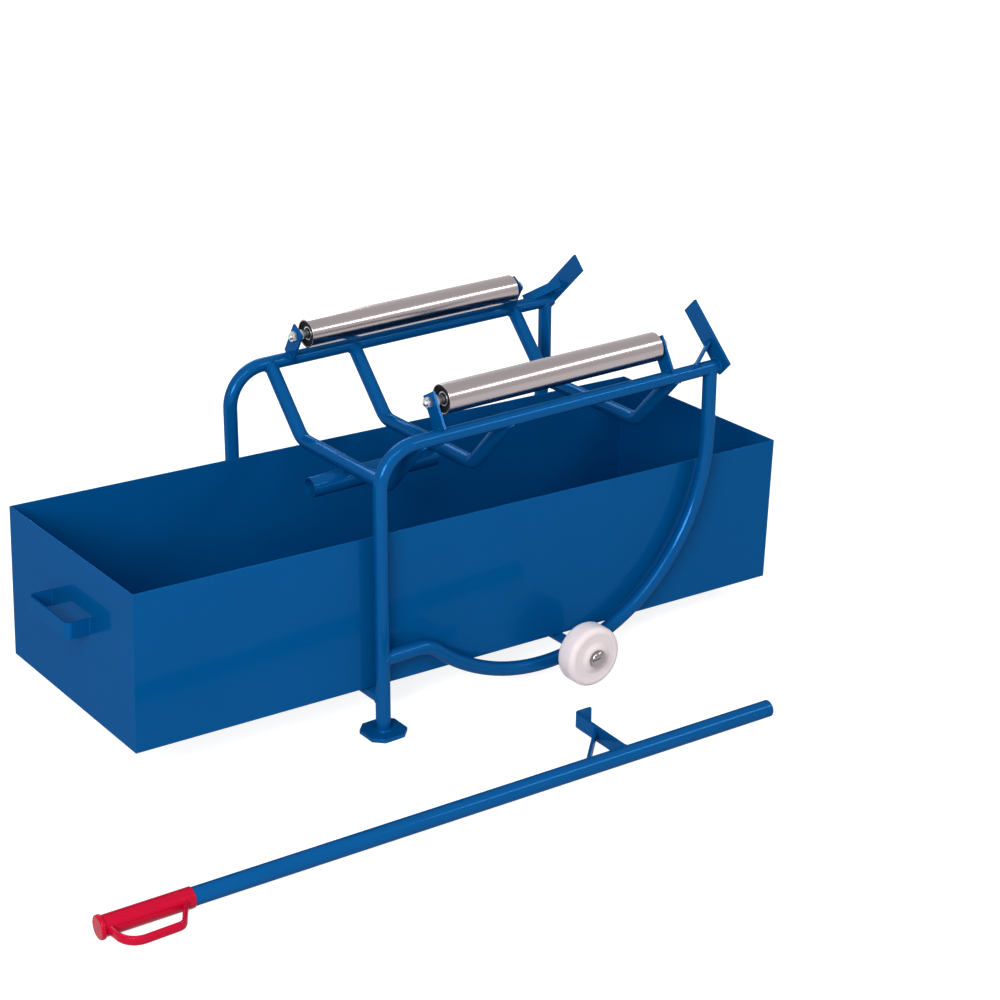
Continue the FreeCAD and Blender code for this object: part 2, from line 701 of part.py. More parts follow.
def wheel_cap(label, side):
    """A domed cap pushed over the axle's end, hollow above the bar."""
    body = new_body(label)
    rim = size("cap_rim")
    top = rim + size("cap_dome")
    radius = size("cap_od") / 2
    wall = size("cap_wall")
    bar = size("axle_od") / 2
    dome = size("cap_dome")
    sketch = sketch_on(body, "XY_Plane", "outline")
    # An arc from the rim's edge to the crown, square to the axis at the crown.
    sphere = (radius * radius + dome * dome) / (dome * 2)
    half_angle = math.asin(radius / sphere) / 2
    crown = vec(top, 0)
    shoulder = vec(rim, radius)
    knee = vec(top - sphere + sphere * math.cos(half_angle), sphere * math.sin(half_angle))
    end = size("axle_stub") - size("end_play")
    outline = [crown, vec(end, 0), vec(end, bar), vec(0, bar), vec(0, radius), shoulder]
    for first, last in zip(outline, outline[1:]):
        sketch.addGeometry(Part.LineSegment(first, last))
    sketch.addGeometry(Part.Arc(shoulder, knee, crown))
    for index in range(len(outline)):
        meet(sketch, index, (index + 1) % len(outline), "Coincident")
    turned = body.newObject("PartDesign::Revolution", "turned")
    turned.Profile = sketch
    turned.ReferenceAxis = (sketch, ["H_Axis"])
    doc.recompute()
    keep(body, label, axle_place(side, hub_face + size("end_play")))


def tray_place():
    """Frame of the tray: its bottom rests on the low tube and on the wheel axle."""
    low = vec(0, size("low_tube_height"))
    axle = vec(size("axle_x"), wheel_radius)
    low_radius = tube_radius + size("rest_gap")
    axle_radius = size("axle_od") / 2 + size("rest_gap")
    span = axle - low
    # The bottom plane is the common tangent above both bars.
    slope = math.atan2(-span.y, span.x)
    tilt = slope + math.asin((low_radius - axle_radius) / span.Length)
    touch = low + vec(math.sin(tilt), math.cos(tilt)) * low_radius
    corner = touch - vec(math.cos(tilt), -math.sin(tilt)) * size("tray_overhang")
    return FreeCAD.Placement(vec(corner.x, 0, corner.y), turn(Y_AXIS, math.degrees(tilt)))


def tray_shell(label):
    """An open sheet box."""
    outer = doc.addObject("Part::Box", "tray_outer")
    bind(outer, Length="sizes.tray_length", Width=TRAY_WIDTH_RULE, Height="sizes.tray_height")
    outer.Placement = FreeCAD.Placement(vec(0, -tray_width / 2), FreeCAD.Rotation())
    inner = doc.addObject("Part::Box", "tray_inner")
    bind(inner, Length="sizes.tray_length - sizes.tray_sheet * 2", Height="sizes.tray_height",
         Width=f"{TRAY_WIDTH_RULE} - sizes.tray_sheet * 2")
    wall = size("tray_sheet")
    inner.Placement = FreeCAD.Placement(vec(wall, wall - tray_width / 2, wall), FreeCAD.Rotation())
    tray = doc.addObject("Part::Cut", label)
    tray.Base = outer
    tray.Tool = inner
    keep(tray, label, tray_place())


def strip_side(points, radii, half):
    """One edge of a bent strip: the path moved to its left by half the thickness."""
    runs = [(last - first).normalize() for first, last in zip(points, points[1:])]
    left = [vec(-run.y, run.x) for run in runs]
    moved = [points[0] + left[0] * half]
    for point, first, last in zip(points[1:], left, left[1:]):
        moved.append(point + (first + last) * (half / (1 + first.dot(last))))
    moved.append(points[-1] + left[-1] * half)
    bends = [radius - math.copysign(half, first.cross(last).z)
             for radius, first, last in zip(radii, runs, runs[1:])]
    return moved, bends


def bent_strip(body, points, radii, thickness, height):
    """A flat bar on edge, bent along a path in the XY plane and padded to both sides of it."""
    half = size(thickness) / 2
    there = strip_side(points, radii, half)
    back = strip_side(points[::-1], radii[::-1], half)
    curves = rounded_path(*there)
    curves.append(Part.LineSegment(there[0][-1], back[0][0]))
    curves += rounded_path(*back)
    curves.append(Part.LineSegment(back[0][-1], there[0][0]))
    sketch = sketch_on(body, "XY_Plane", "outline")
    for curve in curves:
        sketch.addGeometry(curve)
    count = len(curves)
    for index in range(count):
        meet(sketch, index, (index + 1) % count, "Coincident")
    pad = body.newObject("PartDesign::Pad", "strip")
    pad.Profile = sketch
    pad.SideType = "Symmetric"
    pad.setExpression("Length", f"sizes.{height}")
    doc.recompute()


def tray_handle(label, at_front):
    """A flat-bar bow handle on one end wall of the tray."""
    body = new_body(label)
    thick = size("handle_thickness")
    half = (size("handle_width") - thick) / 2
    reach = size("handle_reach") - thick / 2
    gap = size("weld_gap")
    points = [vec(-gap, -half), vec(-reach, -half), vec(-reach, half), vec(-gap, half)]
    bend = size("handle_bend_radius")
    bent_strip(body, points, [bend, bend], "handle_thickness", "handle_height")
    place = tray_place()
    along = 0 if at_front else size("tray_length")
    local = FreeCAD.Placement(vec(along, 0, size("handle_level")), turn(Z_AXIS, 0 if at_front else 180))
    keep(body, label, place.multiply(local))


def lever_place():
    """Frame of the lever: X along the tube to its plain end, hook towards +Y.

    The lever lies on the rim of its grip's flange and on its plain end.
    """
    rear_height = size("grip_flange_od") / 2
    front_height = size("lever_od") / 2
    rear = size("lever_length") + size("grip_end_wall") - size("grip_flange_width")
    slope = (rear_height - front_height) / rear
    base = vec(size("lever_tip_x"), size("lever_tip_y"), front_height)
    pitch = turn(Y_AXIS, math.degrees(math.atan(slope)))
    return FreeCAD.Placement(base, turn(Z_AXIS, size("lever_yaw")).multiply(pitch))


def lever():
    """The loose lever: tube, grip, finger guard, hook and hook strut."""
    place = lever_place()
    length = size("lever_length")
    bore_rule = "(sizes.lever_od - sizes.lever_wall * 2)"
    tube = straight_tube("lever_tube", "sizes.lever_od", bore_rule, "sizes.lever_length")
    keep(tube, "lever_tube", place.multiply(FreeCAD.Placement(ORIGIN, turn(Y_AXIS, -90))))
    grip = new_body("lever_grip")
    start = -length + size("grip_length") - size("grip_end_wall")
    end = start - size("grip_length")
    bore = size("lever_od") / 2
    outer = size("grip_od") / 2
    flange = size("grip_flange_od") / 2
    step = end + size("grip_flange_width")
    turned = revolve(grip, [
        (start, bore), (start, outer), (step, outer), (step, flange),
        (end, flange), (end, 0), (-length, 0), (-length, bore),
    ])
    rims = [f"Edge{index}" for index, edge in enumerate(turned.Shape.Edges, start=1)
            if hasattr(edge.Curve, "Radius") and abs(edge.Curve.Radius - flange) < size("running_gap")]
    edge_round = grip.newObject("PartDesign::Fillet", "flange_edges")
    edge_round.Base = (turned, rims)
    edge_round.setExpression("Radius", "sizes.grip_edge_radius")
    doc.recompute()
    keep(grip, "lever_grip", place)
    guard = new_body("lever_guard")
    near = end + size("guard_end")
    reach = -size("guard_reach")
    first = near - size("guard_slant")
    last = first - size("guard_run")
    points = [vec(near, 0), vec(first, reach), vec(last, reach), vec(step + size("guard_foot"), 0)]
    bends = [size("guard_bend_radius"), size("guard_end_radius")]
    bent_strip(guard, points, bends, "guard_thickness", "guard_height")
    cope(guard, vec(near, 0), X_AXIS, "grip_od", "weld_gap")
    cope(guard, vec(step, 0), X_AXIS, "grip_od", "weld_gap")
    keep(guard, "lever_guard", place)
    hook = new_body("lever_hook")
    root = -size("hook_root")
    out = size("hook_reach") - size("hook_thickness") / 2
    points = [vec(root, 0), vec(root, out), vec(root + size("hook_lip"), out)]
    bent_strip(hook, points, [size("hook_bend_radius")], "hook_thickness", "hook_height")
    cope(hook, vec(root, 0), X_AXIS, "lever_od", "weld_gap")
    keep(hook, "lever_hook", place)
    strut = new_body("lever_hook_strut")
    face = root - size("hook_thickness") / 2 - size("weld_gap")
    foot = vec(root - size("hook_strut_foot"), 0)
    head = vec(face, size("hook_strut_rise"))
    along = (head - foot).normalize()
    across = vec(-along.y, along.x) * (size("hook_thickness") / 2)
    left = foot + across
    right = foot - across
    rise = along.y / along.x
    right_head = vec(face, right.y + (face - right.x) * rise)
    left_head = vec(face, left.y + (face - left.x) * rise)
    corners = [right, right_head, left_head, left]
    plate(strut, "XY_Plane", corners, "hook_strut_width")
    cope(strut, foot, X_AXIS, "lever_od", "weld_gap")
    keep(strut, "lever_hook_strut", place)


for side_name, side in SIDES.items():
    post_rail(f"post_rail_tube_{side_name}", side)
    rocker(f"rocker_tube_{side_name}", side)
    foot_plate(f"foot_plate_{side_name}", side)
    stop_bar(f"stop_bar_{side_name}", side)
    stop_strut(f"stop_strut_{side_name}", side)
    roller(side_name, side)
    wheel(f"wheel_{side_name}", side)
    wheel_sleeve(f"wheel_sleeve_{side_name}", side)
    wheel_cap(f"wheel_cap_{side_name}", side)
for name, along in CRADLE_PLACES.items():
    cradle_tube(f"cradle_tube_{name}", along)
low_cross_tube("low_cross_tube")
lever_socket("lever_socket_tube")
wheel_axle("wheel_axle")
tray_shell("tray_shell")
tray_handle("tray_handle_front", True)
tray_handle("tray_handle_rear", False)
lever()
doc.recompute()

for item in doc.Objects:
    if "Invalid" in item.State or "Error" in item.State:
        raise RuntimeError(f"{item.Label} failed: {item.State}")
for node in nodes:
    if node.Shape.isNull() or not node.Shape.isValid():
        raise RuntimeError(f"{node.Label} has no valid shape")
os.makedirs("parts", exist_ok=True)
for node in nodes:
    node.Shape.exportStep(f"parts/{node.Label}.step")
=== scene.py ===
"""Looks of a drum tipper: paint, polished rollers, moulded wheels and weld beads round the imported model."""

import json
import math

import bmesh
import bpy
import numpy as np
from mathutils import Matrix, Vector


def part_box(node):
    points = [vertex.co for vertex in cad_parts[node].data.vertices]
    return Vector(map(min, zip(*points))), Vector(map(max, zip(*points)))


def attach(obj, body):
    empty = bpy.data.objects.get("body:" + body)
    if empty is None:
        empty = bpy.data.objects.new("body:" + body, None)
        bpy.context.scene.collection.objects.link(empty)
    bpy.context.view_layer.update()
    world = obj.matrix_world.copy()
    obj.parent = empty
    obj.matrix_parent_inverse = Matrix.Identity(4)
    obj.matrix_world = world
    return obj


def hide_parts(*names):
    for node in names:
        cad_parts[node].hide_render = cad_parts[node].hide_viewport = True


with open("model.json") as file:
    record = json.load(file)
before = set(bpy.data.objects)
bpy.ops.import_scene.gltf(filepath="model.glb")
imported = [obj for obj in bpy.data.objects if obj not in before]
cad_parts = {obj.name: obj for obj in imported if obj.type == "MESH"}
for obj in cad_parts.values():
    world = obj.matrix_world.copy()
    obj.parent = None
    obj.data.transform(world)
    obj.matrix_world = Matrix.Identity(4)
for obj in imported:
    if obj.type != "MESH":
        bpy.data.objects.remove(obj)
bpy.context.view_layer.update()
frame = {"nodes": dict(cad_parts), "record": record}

bl_info = {
    "name": "Drum tipper looks",
    "version": (1, 0, 0),
    "blender": (4, 5, 0),
    "location": "3D View > Sidebar > Drum tipper",
    "description": "Finishes, turned and moulded pieces, weld beads and studio of a drum tipper",
    "category": "Object",
}

X_AXIS, Y_AXIS, Z_AXIS = np.eye(3)
FULL_TURN = 2 * math.pi
SIDES = {"right": -1.0, "left": 1.0}
ENDS = ("front", "rear")
EVEN = (1.0, 1.0, 1.0)
WHITE = (1.0, 1.0, 1.0, 1.0)

# Distances under which points are one: in new pieces, and in copies of the solids.
MERGE, SOLID_MERGE = 1e-7, 1e-6
# Angles in degrees above which an edge stays sharp, by kind of piece.
NUT_EDGE, PLAIN_EDGE, SOFT_EDGE, BEAD_EDGE = 25.0, 40.0, 60.0, 80.0


def node_box(node):
    """Lowest and highest corner of a solid, as two rows."""
    return np.array([list(corner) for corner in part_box(node)])


def middle(node):
    """Middle of a solid's box."""
    return node_box(node).mean(axis=0)


# Places of the tube frame in metres, most of them read from the solids.
POST = node_box("post_rail_tube_right")
TUBE_RADIUS = (POST[1, 1] - POST[0, 1]) / 2
RAIL_SIDE = -(POST[0, 1] + POST[1, 1]) / 2
RAIL_HEIGHT = POST[1, 2] - TUBE_RADIUS
RAIL_END = POST[1, 0]
ROCKER_X = node_box("rocker_tube_right")[1, 0] - TUBE_RADIUS
TOE_HEIGHT = 0.1503
CRADLE_SLOPE = np.array([0.0, 0.115, 0.124]) / np.hypot(0.115, 0.124)
# Lean of the roller brackets and of the stops, and how far a bracket's seat wraps the rail.
BRACKET_LEAN = math.radians(60.0)
BRACKET_WRAP = math.radians(48.0)
STOP_LEAN = math.radians(44.0)
# Place and turn of the tray and of the lever.
TRAY_LENGTH = 1.466
TRAY_TILT = math.radians(2.0525)
TRAY_LOW = node_box("tray_shell")[0]
TRAY_CORNER = np.array([TRAY_LOW[0], 0.0, TRAY_LOW[2] + TRAY_LENGTH * math.sin(TRAY_TILT)])
LEVER_RADIUS = 0.0160
LEVER_TIP = np.array([0.6215, -0.6275, LEVER_RADIUS])
LEVER_YAW = math.radians(-2.59)
LEVER_PITCH = math.atan(5.0 / 1362.0)


def colour_prop(name, description, default):
    """A colour that a user would change, in linear light."""
    return bpy.props.FloatVectorProperty(
        name=name, description=description, subtype="COLOR", size=3, min=0.0, max=1.0, default=default)


def length_prop(name, description, default):
    """A length that a user would change, in metres."""
    return bpy.props.FloatProperty(
        name=name, description=description, unit="LENGTH", precision=4, default=default)


def angle_prop(name, description, degrees):
    """An angle that a user would change."""
    return bpy.props.FloatProperty(
        name=name, description=description, subtype="ANGLE", default=math.radians(degrees))


def share_prop(name, description, default):
    """A plain number that a user would change."""
    return bpy.props.FloatProperty(name=name, description=description, precision=4, default=default)


class TipperFinish(bpy.types.PropertyGroup):
    """Colours of the finishes."""

    frame_blue: colour_prop("Frame", "Powder coat of the tube frame", (0.0004, 0.074, 0.242))
    tray_blue: colour_prop("Tray", "Powder coat of the drip tray", (0.0004, 0.074, 0.242))
    lever_blue: colour_prop("Lever", "Powder coat of the lever", (0.0006, 0.078, 0.255))
    steel: colour_prop("Rollers", "Bright drawn steel of the rollers", (0.34, 0.298, 0.304))
    zinc: colour_prop("Fasteners", "Zinc plate of nuts, axles and sleeves", (0.55, 0.56, 0.58))
    chrome: colour_prop("Caps", "Polished plate of the wheel caps", (0.27, 0.238, 0.246))
    nylon: colour_prop("Wheels", "Cast nylon of the wheels", (0.79, 0.705, 0.718))
    black: colour_prop("Bearings", "Moulded bearing inserts", (0.012, 0.012, 0.013))
    red: colour_prop("Grip", "Moulded grip and finger guard", (0.46, 0.002, 0.026))


class TipperEdges(bpy.types.PropertyGroup):
    """Small forms of edges, beads and threads."""

    plate_edge: length_prop("Plate edge", "Rounding of the flat bars' edges", 0.0008)
    tray_edge: length_prop("Tray edge", "Rounding of the tray's folds and rims", 0.0014)
    bead: length_prop("Bead", "Half width of a weld bead", 0.0021)
    bead_pitch: length_prop("Bead pitch", "Distance between the ripples of a bead", 0.0035)
    bead_ripple: share_prop("Bead ripple", "Height of the ripples as a share of the bead", 0.10)
    thread_pitch: length_prop("Thread pitch", "Pitch of the roller axles' thread", 0.00175)
    thread_depth: length_prop("Thread depth", "Depth of the roller axles' thread", 0.0009)
    tread_round: length_prop("Tread edge", "Rounding of the wheels' tread edges", 0.0110)


class TipperStage(bpy.types.PropertyGroup):
    """Camera and floor."""

    place_x: length_prop("Camera X", "Camera place along the rails", -2.0865)
    place_y: length_prop("Camera Y", "Camera place across the frame", -3.4110)
    place_z: length_prop("Camera Z", "Camera height above the floor", 2.0446)
    heading: angle_prop("Heading", "Turn of the view from +Y towards +X", 34.729)
    dip: angle_prop("Dip", "Tilt of the view below the horizon", 21.451)
    roll: angle_prop("Roll", "Turn of the picture about the view", -0.413)
    lens: bpy.props.FloatProperty(
        name="Lens", description="Focal length for a 36 mm wide picture", unit="CAMERA", default=82.837)
    shift_x: share_prop("Shift X", "Sideways shift of the picture", 0.0758)
    shift_y: share_prop("Shift Y", "Upward shift of the picture", -0.0498)
    floor_side: length_prop("Floor", "Side of the square floor", 60.0)


def finish_name(slot):
    """Name of the material made for a material slot."""
    return f"tipper {slot}"


def new_shader(slot):
    """A fresh material with its node tree and principled shader."""
    material = bpy.data.materials.new(finish_name(slot))
    material.use_nodes = True
    tree = material.node_tree
    return material, tree, tree.nodes["Principled BSDF"]


def set_sockets(shader, values):
    """Values that are the same all over the surface, on the shader's own sockets."""
    for socket, value in values.items():
        shader.inputs[socket].default_value = value


def object_noise(tree, scale, stretch=EVEN, detail=2.0):
    """Noise over the piece's own coordinates, stretched along the axes; scale is in cells per metre."""
    place = tree.nodes.new("ShaderNodeTexCoord")
    mapping = tree.nodes.new("ShaderNodeMapping")
    mapping.inputs["Scale"].default_value = stretch
    noise = tree.nodes.new("ShaderNodeTexNoise")
    noise.inputs["Scale"].default_value = scale
    noise.inputs["Detail"].default_value = detail
    tree.links.new(place.outputs["Object"], mapping.inputs["Vector"])
    tree.links.new(mapping.outputs["Vector"], noise.inputs["Vector"])
    return noise


def add_relief(tree, shader, noise, strength, distance):
    """Small relief from a noise."""
    bump = tree.nodes.new("ShaderNodeBump")
    bump.inputs["Strength"].default_value = strength
    bump.inputs["Distance"].default_value = distance
    tree.links.new(noise.outputs["Fac"], bump.inputs["Height"])
    tree.links.new(bump.outputs["Normal"], shader.inputs["Normal"])


def add_cloud(tree, shader, noise, colour, spread):
    """Base colour that drifts with a noise by a share to either side of a colour."""
    mix = tree.nodes.new("ShaderNodeMix")
    mix.data_type = "RGBA"
    for socket, factor in (("A", 1.0 - spread), ("B", 1.0 + spread)):
        mix.inputs[socket].default_value = (*(channel * factor for channel in colour), 1.0)
    tree.links.new(noise.outputs["Fac"], mix.inputs["Factor"])
    tree.links.new(mix.outputs["Result"], shader.inputs["Base Color"])


def add_polish(tree, shader, noise, rough):
    """Roughness that follows a noise between two values."""
    span = tree.nodes.new("ShaderNodeMapRange")
    span.inputs["To Min"].default_value, span.inputs["To Max"].default_value = rough
    tree.links.new(noise.outputs["Fac"], span.inputs["Value"])
    tree.links.new(span.outputs["Result"], shader.inputs["Roughness"])


# Noise scales of the finishes in cells per metre.
COAT_DRIFT, COAT_POLISH, COAT_PEEL = 7.0, 18.0, 380.0
METAL_STREAK = 60.0
PLASTIC_DRIFT, PLASTIC_GRAIN = 25.0, 260.0
# Roughness of the clear film over paint and plastic.
CLEAR_FILM = 0.06


def powder_coat(slot, colour, rough, gloss):
    """Smooth stoved paint: its shade and polish drift slowly, and it has a faint orange peel."""
    _, tree, shader = new_shader(slot)
    add_cloud(tree, shader, object_noise(tree, COAT_DRIFT), colour, spread=0.05)
    add_relief(tree, shader, object_noise(tree, COAT_PEEL), strength=0.06, distance=0.0004)
    add_polish(tree, shader, object_noise(tree, COAT_POLISH), rough)
    set_sockets(shader, {
        "Metallic": 0.18, "Specular IOR Level": 0.0, "Specular Tint": (0.3, 0.6, 1.0, 1.0),
        "Coat Weight": gloss, "Coat Roughness": CLEAR_FILM})


def bare_metal(slot, colour, rough, stretch=EVEN):
    """Plain metal whose shade and polish drift along a drawing direction."""
    _, tree, shader = new_shader(slot)
    noise = object_noise(tree, METAL_STREAK, stretch, detail=3.0)
    add_cloud(tree, shader, noise, colour, spread=0.10)
    add_polish(tree, shader, noise, rough)
    set_sockets(shader, {"Metallic": 1.0})


def moulded(slot, colour, rough, grain, gloss=0.0, depth=0.0):
    """Moulded plastic with a light grain; depth is the share of light that sinks into it."""
    _, tree, shader = new_shader(slot)
    add_cloud(tree, shader, object_noise(tree, PLASTIC_DRIFT), colour, spread=0.03)
    add_relief(tree, shader, object_noise(tree, PLASTIC_GRAIN), grain, distance=0.0005)
    set_sockets(shader, {
        "Roughness": rough, "Specular IOR Level": 0.04, "Coat Weight": gloss, "Coat Roughness": CLEAR_FILM,
        "Subsurface Weight": depth, "Subsurface Radius": EVEN, "Subsurface Scale": 0.012})


def make_finishes(finish):
    """One material per material slot of the record."""
    along_x = (0.008, 1.0, 1.0)
    powder_coat("frame_blue", finish.frame_blue, rough=(0.15, 0.23), gloss=0.10)
    powder_coat("tray_blue", finish.tray_blue, rough=(0.30, 0.38), gloss=0.06)
    powder_coat("lever_blue", finish.lever_blue, rough=(0.15, 0.23), gloss=0.10)
    bare_metal("roller_steel", finish.steel, rough=(0.17, 0.22), stretch=along_x)
    bare_metal("plated_steel", finish.zinc, rough=(0.26, 0.40))
    bare_metal("cap_chrome", finish.chrome, rough=(0.06, 0.12))
    moulded("bearing_black", finish.black, rough=0.40, grain=0.10)
    moulded("wheel_nylon", finish.nylon, rough=0.42, grain=0.06, depth=0.6)
    moulded("grip_red", finish.red, rough=0.20, grain=0.04, gloss=0.08)


def slot_of(node):
    """The record's material slot of a node."""
    return next(part["material_slot"] for part in frame["record"]["subparts"] if part["node"] == node)


def body_of(node):
    """The moving body that carries a node."""
    return next(name for name, nodes in frame["record"]["behaviour"]["bodies"].items() if node in nodes)


def dress(piece, slot, body, *nodes):
    """Paint a piece, let it ride on its body and hide the solids that it stands for."""
    piece.data.materials.clear()
    piece.data.materials.append(bpy.data.materials[finish_name(slot)])
    bpy.context.collection.objects.link(piece)
    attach(piece, body)
    if nodes:
        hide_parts(*nodes)


def unit(vectors):
    """Vectors of length one along the last axis."""
    return vectors / np.linalg.norm(vectors, axis=-1, keepdims=True)


def turns(count):
    """Angles of a full turn in even steps."""
    return np.arange(count) * (FULL_TURN / count)


def sheet(points, loop=False):
    """A grid of points, whose rows are closed rings, with its quads.

    A loop joins the last ring to the first.
    """
    rows, columns = points.shape[:2]
    index = np.arange(rows * columns).reshape(rows, columns)
    if loop:
        index = np.vstack((index, index[:1]))
    index = np.hstack((index, index[:, :1]))
    quads = np.stack((index[:-1, :-1], index[1:, :-1], index[1:, 1:], index[:-1, 1:]), axis=-1)
    return points.reshape(-1, 3), quads.reshape(-1, 4)


def gather(sheets):
    """Several grids as one list of points and one of quads."""
    starts = np.cumsum([0] + [len(points) for points, _ in sheets[:-1]])
    points = np.concatenate([points for points, _ in sheets])
    quads = np.concatenate([quads + start for start, (_, quads) in zip(starts, sheets)])
    return points, quads


def close_mesh(mesh, sharp_degrees):
    """Merge doubled points, turn faces outwards and shade smooth up to an angle."""
    work = bmesh.new()
    work.from_mesh(mesh)
    bmesh.ops.remove_doubles(work, verts=work.verts, dist=MERGE)
    bmesh.ops.recalc_face_normals(work, faces=work.faces)
    work.to_mesh(mesh)
    work.free()
    mesh.shade_smooth()
    mesh.set_sharp_from_angle(angle=math.radians(sharp_degrees))
    mesh.update()


def solid(name, sheets, sharp_degrees=PLAIN_EDGE):
    """A new object from one or more grids of points."""
    points, quads = gather(sheets)
    mesh = bpy.data.meshes.new(name)
    mesh.vertices.add(len(points))
    mesh.vertices.foreach_set("co", points.astype(np.float32).ravel())
    mesh.loops.add(quads.size)
    mesh.loops.foreach_set("vertex_index", quads.astype(np.int32).ravel())
    mesh.polygons.add(len(quads))
    mesh.polygons.foreach_set("loop_start", np.arange(0, quads.size, 4, dtype=np.int32))
    mesh.update(calc_edges=True)
    mesh.validate()
    close_mesh(mesh, sharp_degrees)
    return bpy.data.objects.new(name, mesh)


def rounded(points, radii, steps=7):
    """Straight runs whose inner corners become arcs.

    An arc of radius r leaves each run at r / tan(half the corner's angle); its points turn evenly
    from the one run to the other about a centre at r / sin(half angle) on the corner's bisector.
    """
    straight = 1e-4
    points = np.asarray(points, float)
    turn = np.linspace(0.0, 1.0, steps)[:, None]
    pieces = [points[:1]]
    for before, corner, after, radius in zip(points, points[1:], points[2:], radii):
        back, ahead = unit(before - corner), unit(after - corner)
        half = math.acos(np.clip(back @ ahead, -1.0, 1.0)) / 2
        if radius <= 0.0 or math.pi / 2 - half < straight:
            pieces.append(corner[None])
            continue
        centre = corner + unit(back + ahead) * (radius / math.sin(half))
        start = corner + back * (radius / math.tan(half)) - centre
        end = corner + ahead * (radius / math.tan(half)) - centre
        swing = math.pi - 2 * half
        blend = np.sin((1 - turn) * swing) * start + np.sin(turn * swing) * end
        pieces.append(centre + blend / math.sin(swing))
    return np.concatenate(pieces + [points[-1:]])


def cross_axes(axis):
    """Two unit vectors square to an axis and to each other."""
    nearly_upright = 0.9
    other = Z_AXIS if abs(axis @ Z_AXIS) < nearly_upright else X_AXIS
    first = unit(np.cross(other, axis))
    return first, np.cross(axis, first)


def lathe(profile, base, axis, segments=96, loop=False):
    """Turn (along, radius) pairs about an axis: base + along * axis + radius * (cos * u + sin * v)."""
    first, second = cross_axes(axis)
    angle = turns(segments)
    ring = np.outer(np.cos(angle), first) + np.outer(np.sin(angle), second)
    profile = np.asarray(profile, float)
    points = base + profile[:, None, :1] * axis + profile[:, None, 1:] * ring[None]
    return sheet(points, loop)


def around_x(along, radius, angle, base):
    """Points at base + along * X + radius * (cos angle * Y + sin angle * Z)."""
    ring = np.outer(np.cos(angle), Y_AXIS) + np.outer(np.sin(angle), Z_AXIS)
    return base + X_AXIS * along[:, None, None] + radius[:, :, None] * ring[None]


def carry(path, outward, radius, sides, loop=False):
    """Carry a circle along a path: path + radius * (cos * n + sin * b).

    n is the outward direction made square to the path, and b is square to both.
    """
    ahead = np.roll(path, -1, axis=0) - np.roll(path, 1, axis=0) if loop else np.gradient(path, axis=0)
    across = unit(np.cross(unit(ahead), outward))
    normal = np.cross(across, unit(ahead))
    angle = turns(sides)[None, :, None]
    spread = np.cos(angle) * normal[:, None] + np.sin(angle) * across[:, None]
    return sheet(path[:, None] + radius[:, None, None] * spread, loop)


def run_length(path):
    """Distance along a path at each of its points."""
    return np.concatenate(([0.0], np.cumsum(np.linalg.norm(np.diff(path, axis=0), axis=1))))


def even_path(path, count):
    """The same line with its points at even distances."""
    length = run_length(path)
    place = np.linspace(0.0, length[-1], count)
    return np.stack([np.interp(place, length, path[:, axis]) for axis in range(3)], axis=1)


def eased_copy(node, width):
    """A merged copy of a solid with rounded edges, in the solid's place."""
    mesh = frame["nodes"][node].data.copy()
    mesh.name = f"eased_{node}"
    work = bmesh.new()
    work.from_mesh(mesh)
    bmesh.ops.remove_doubles(work, verts=work.verts, dist=SOLID_MERGE)
    flat_angle = math.radians(0.5)
    bmesh.ops.dissolve_limit(
        work, angle_limit=flat_angle, verts=work.verts, edges=work.edges, use_dissolve_boundaries=False)
    work.to_mesh(mesh)
    work.free()
    mesh.shade_smooth()
    piece = bpy.data.objects.new(f"eased_{node}", mesh)
    bevel = piece.modifiers.new("eased edges", "BEVEL")
    bevel.width = width
    bevel.segments = 3
    bevel.limit_method = "ANGLE"
    bevel.angle_limit = math.radians(PLAIN_EDGE)
    bevel.use_clamp_overlap = True
    even = piece.modifiers.new("even shading", "WEIGHTED_NORMAL")
    even.keep_sharp = False
    return piece


class TIPPER_OT_paint(bpy.types.Operator):
    """Give every solid the finish of its material slot."""

    bl_idname = "tipper.paint"
    bl_label = "Paint the solids"

    def execute(self, context):
        make_finishes(context.scene.tipper_finish)
        for node, shape in frame["nodes"].items():
            for place in shape.material_slots:
                place.material = bpy.data.materials[finish_name(slot_of(node))]
        return {"FINISHED"}


FLAT_BARS = (
    *(f"{kind}_{side}" for kind in ("foot_plate", "stop_bar", "stop_strut") for side in SIDES),
    *(f"roller_bracket_{side}_{end}" for side in SIDES for end in ENDS),
    "tray_handle_front", "tray_handle_rear", "lever_hook", "lever_hook_strut",
)


class TIPPER_OT_flat_bars(bpy.types.Operator):
    """Round the edges of the flat bars and plates."""

    bl_idname = "tipper.flat_bars"
    bl_label = "Flat bars"

    def execute(self, context):
        for node in FLAT_BARS:
            piece = eased_copy(node, context.scene.tipper_edges.plate_edge)
            dress(piece, slot_of(node), body_of(node), node)
        return {"FINISHED"}


class TIPPER_OT_tray(bpy.types.Operator):
    """Round the folds and rims of the drip tray."""

    bl_idname = "tipper.tray"
    bl_label = "Drip tray"

    def execute(self, context):
        piece = eased_copy("tray_shell", context.scene.tipper_edges.tray_edge)
        dress(piece, "tray_blue", "tray", "tray_shell")
        return {"FINISHED"}


def ring_profile(start, end, inner, outer, edge):
    """Closed section of a tube wall with rounded rims, as (along, radius) pairs."""
    halfway = (start + end) / 2
    corners = [(halfway, outer), (end, outer), (end, inner), (start, inner), (start, outer), (halfway, outer)]
    return rounded(corners, [edge] * 4)[:-1]


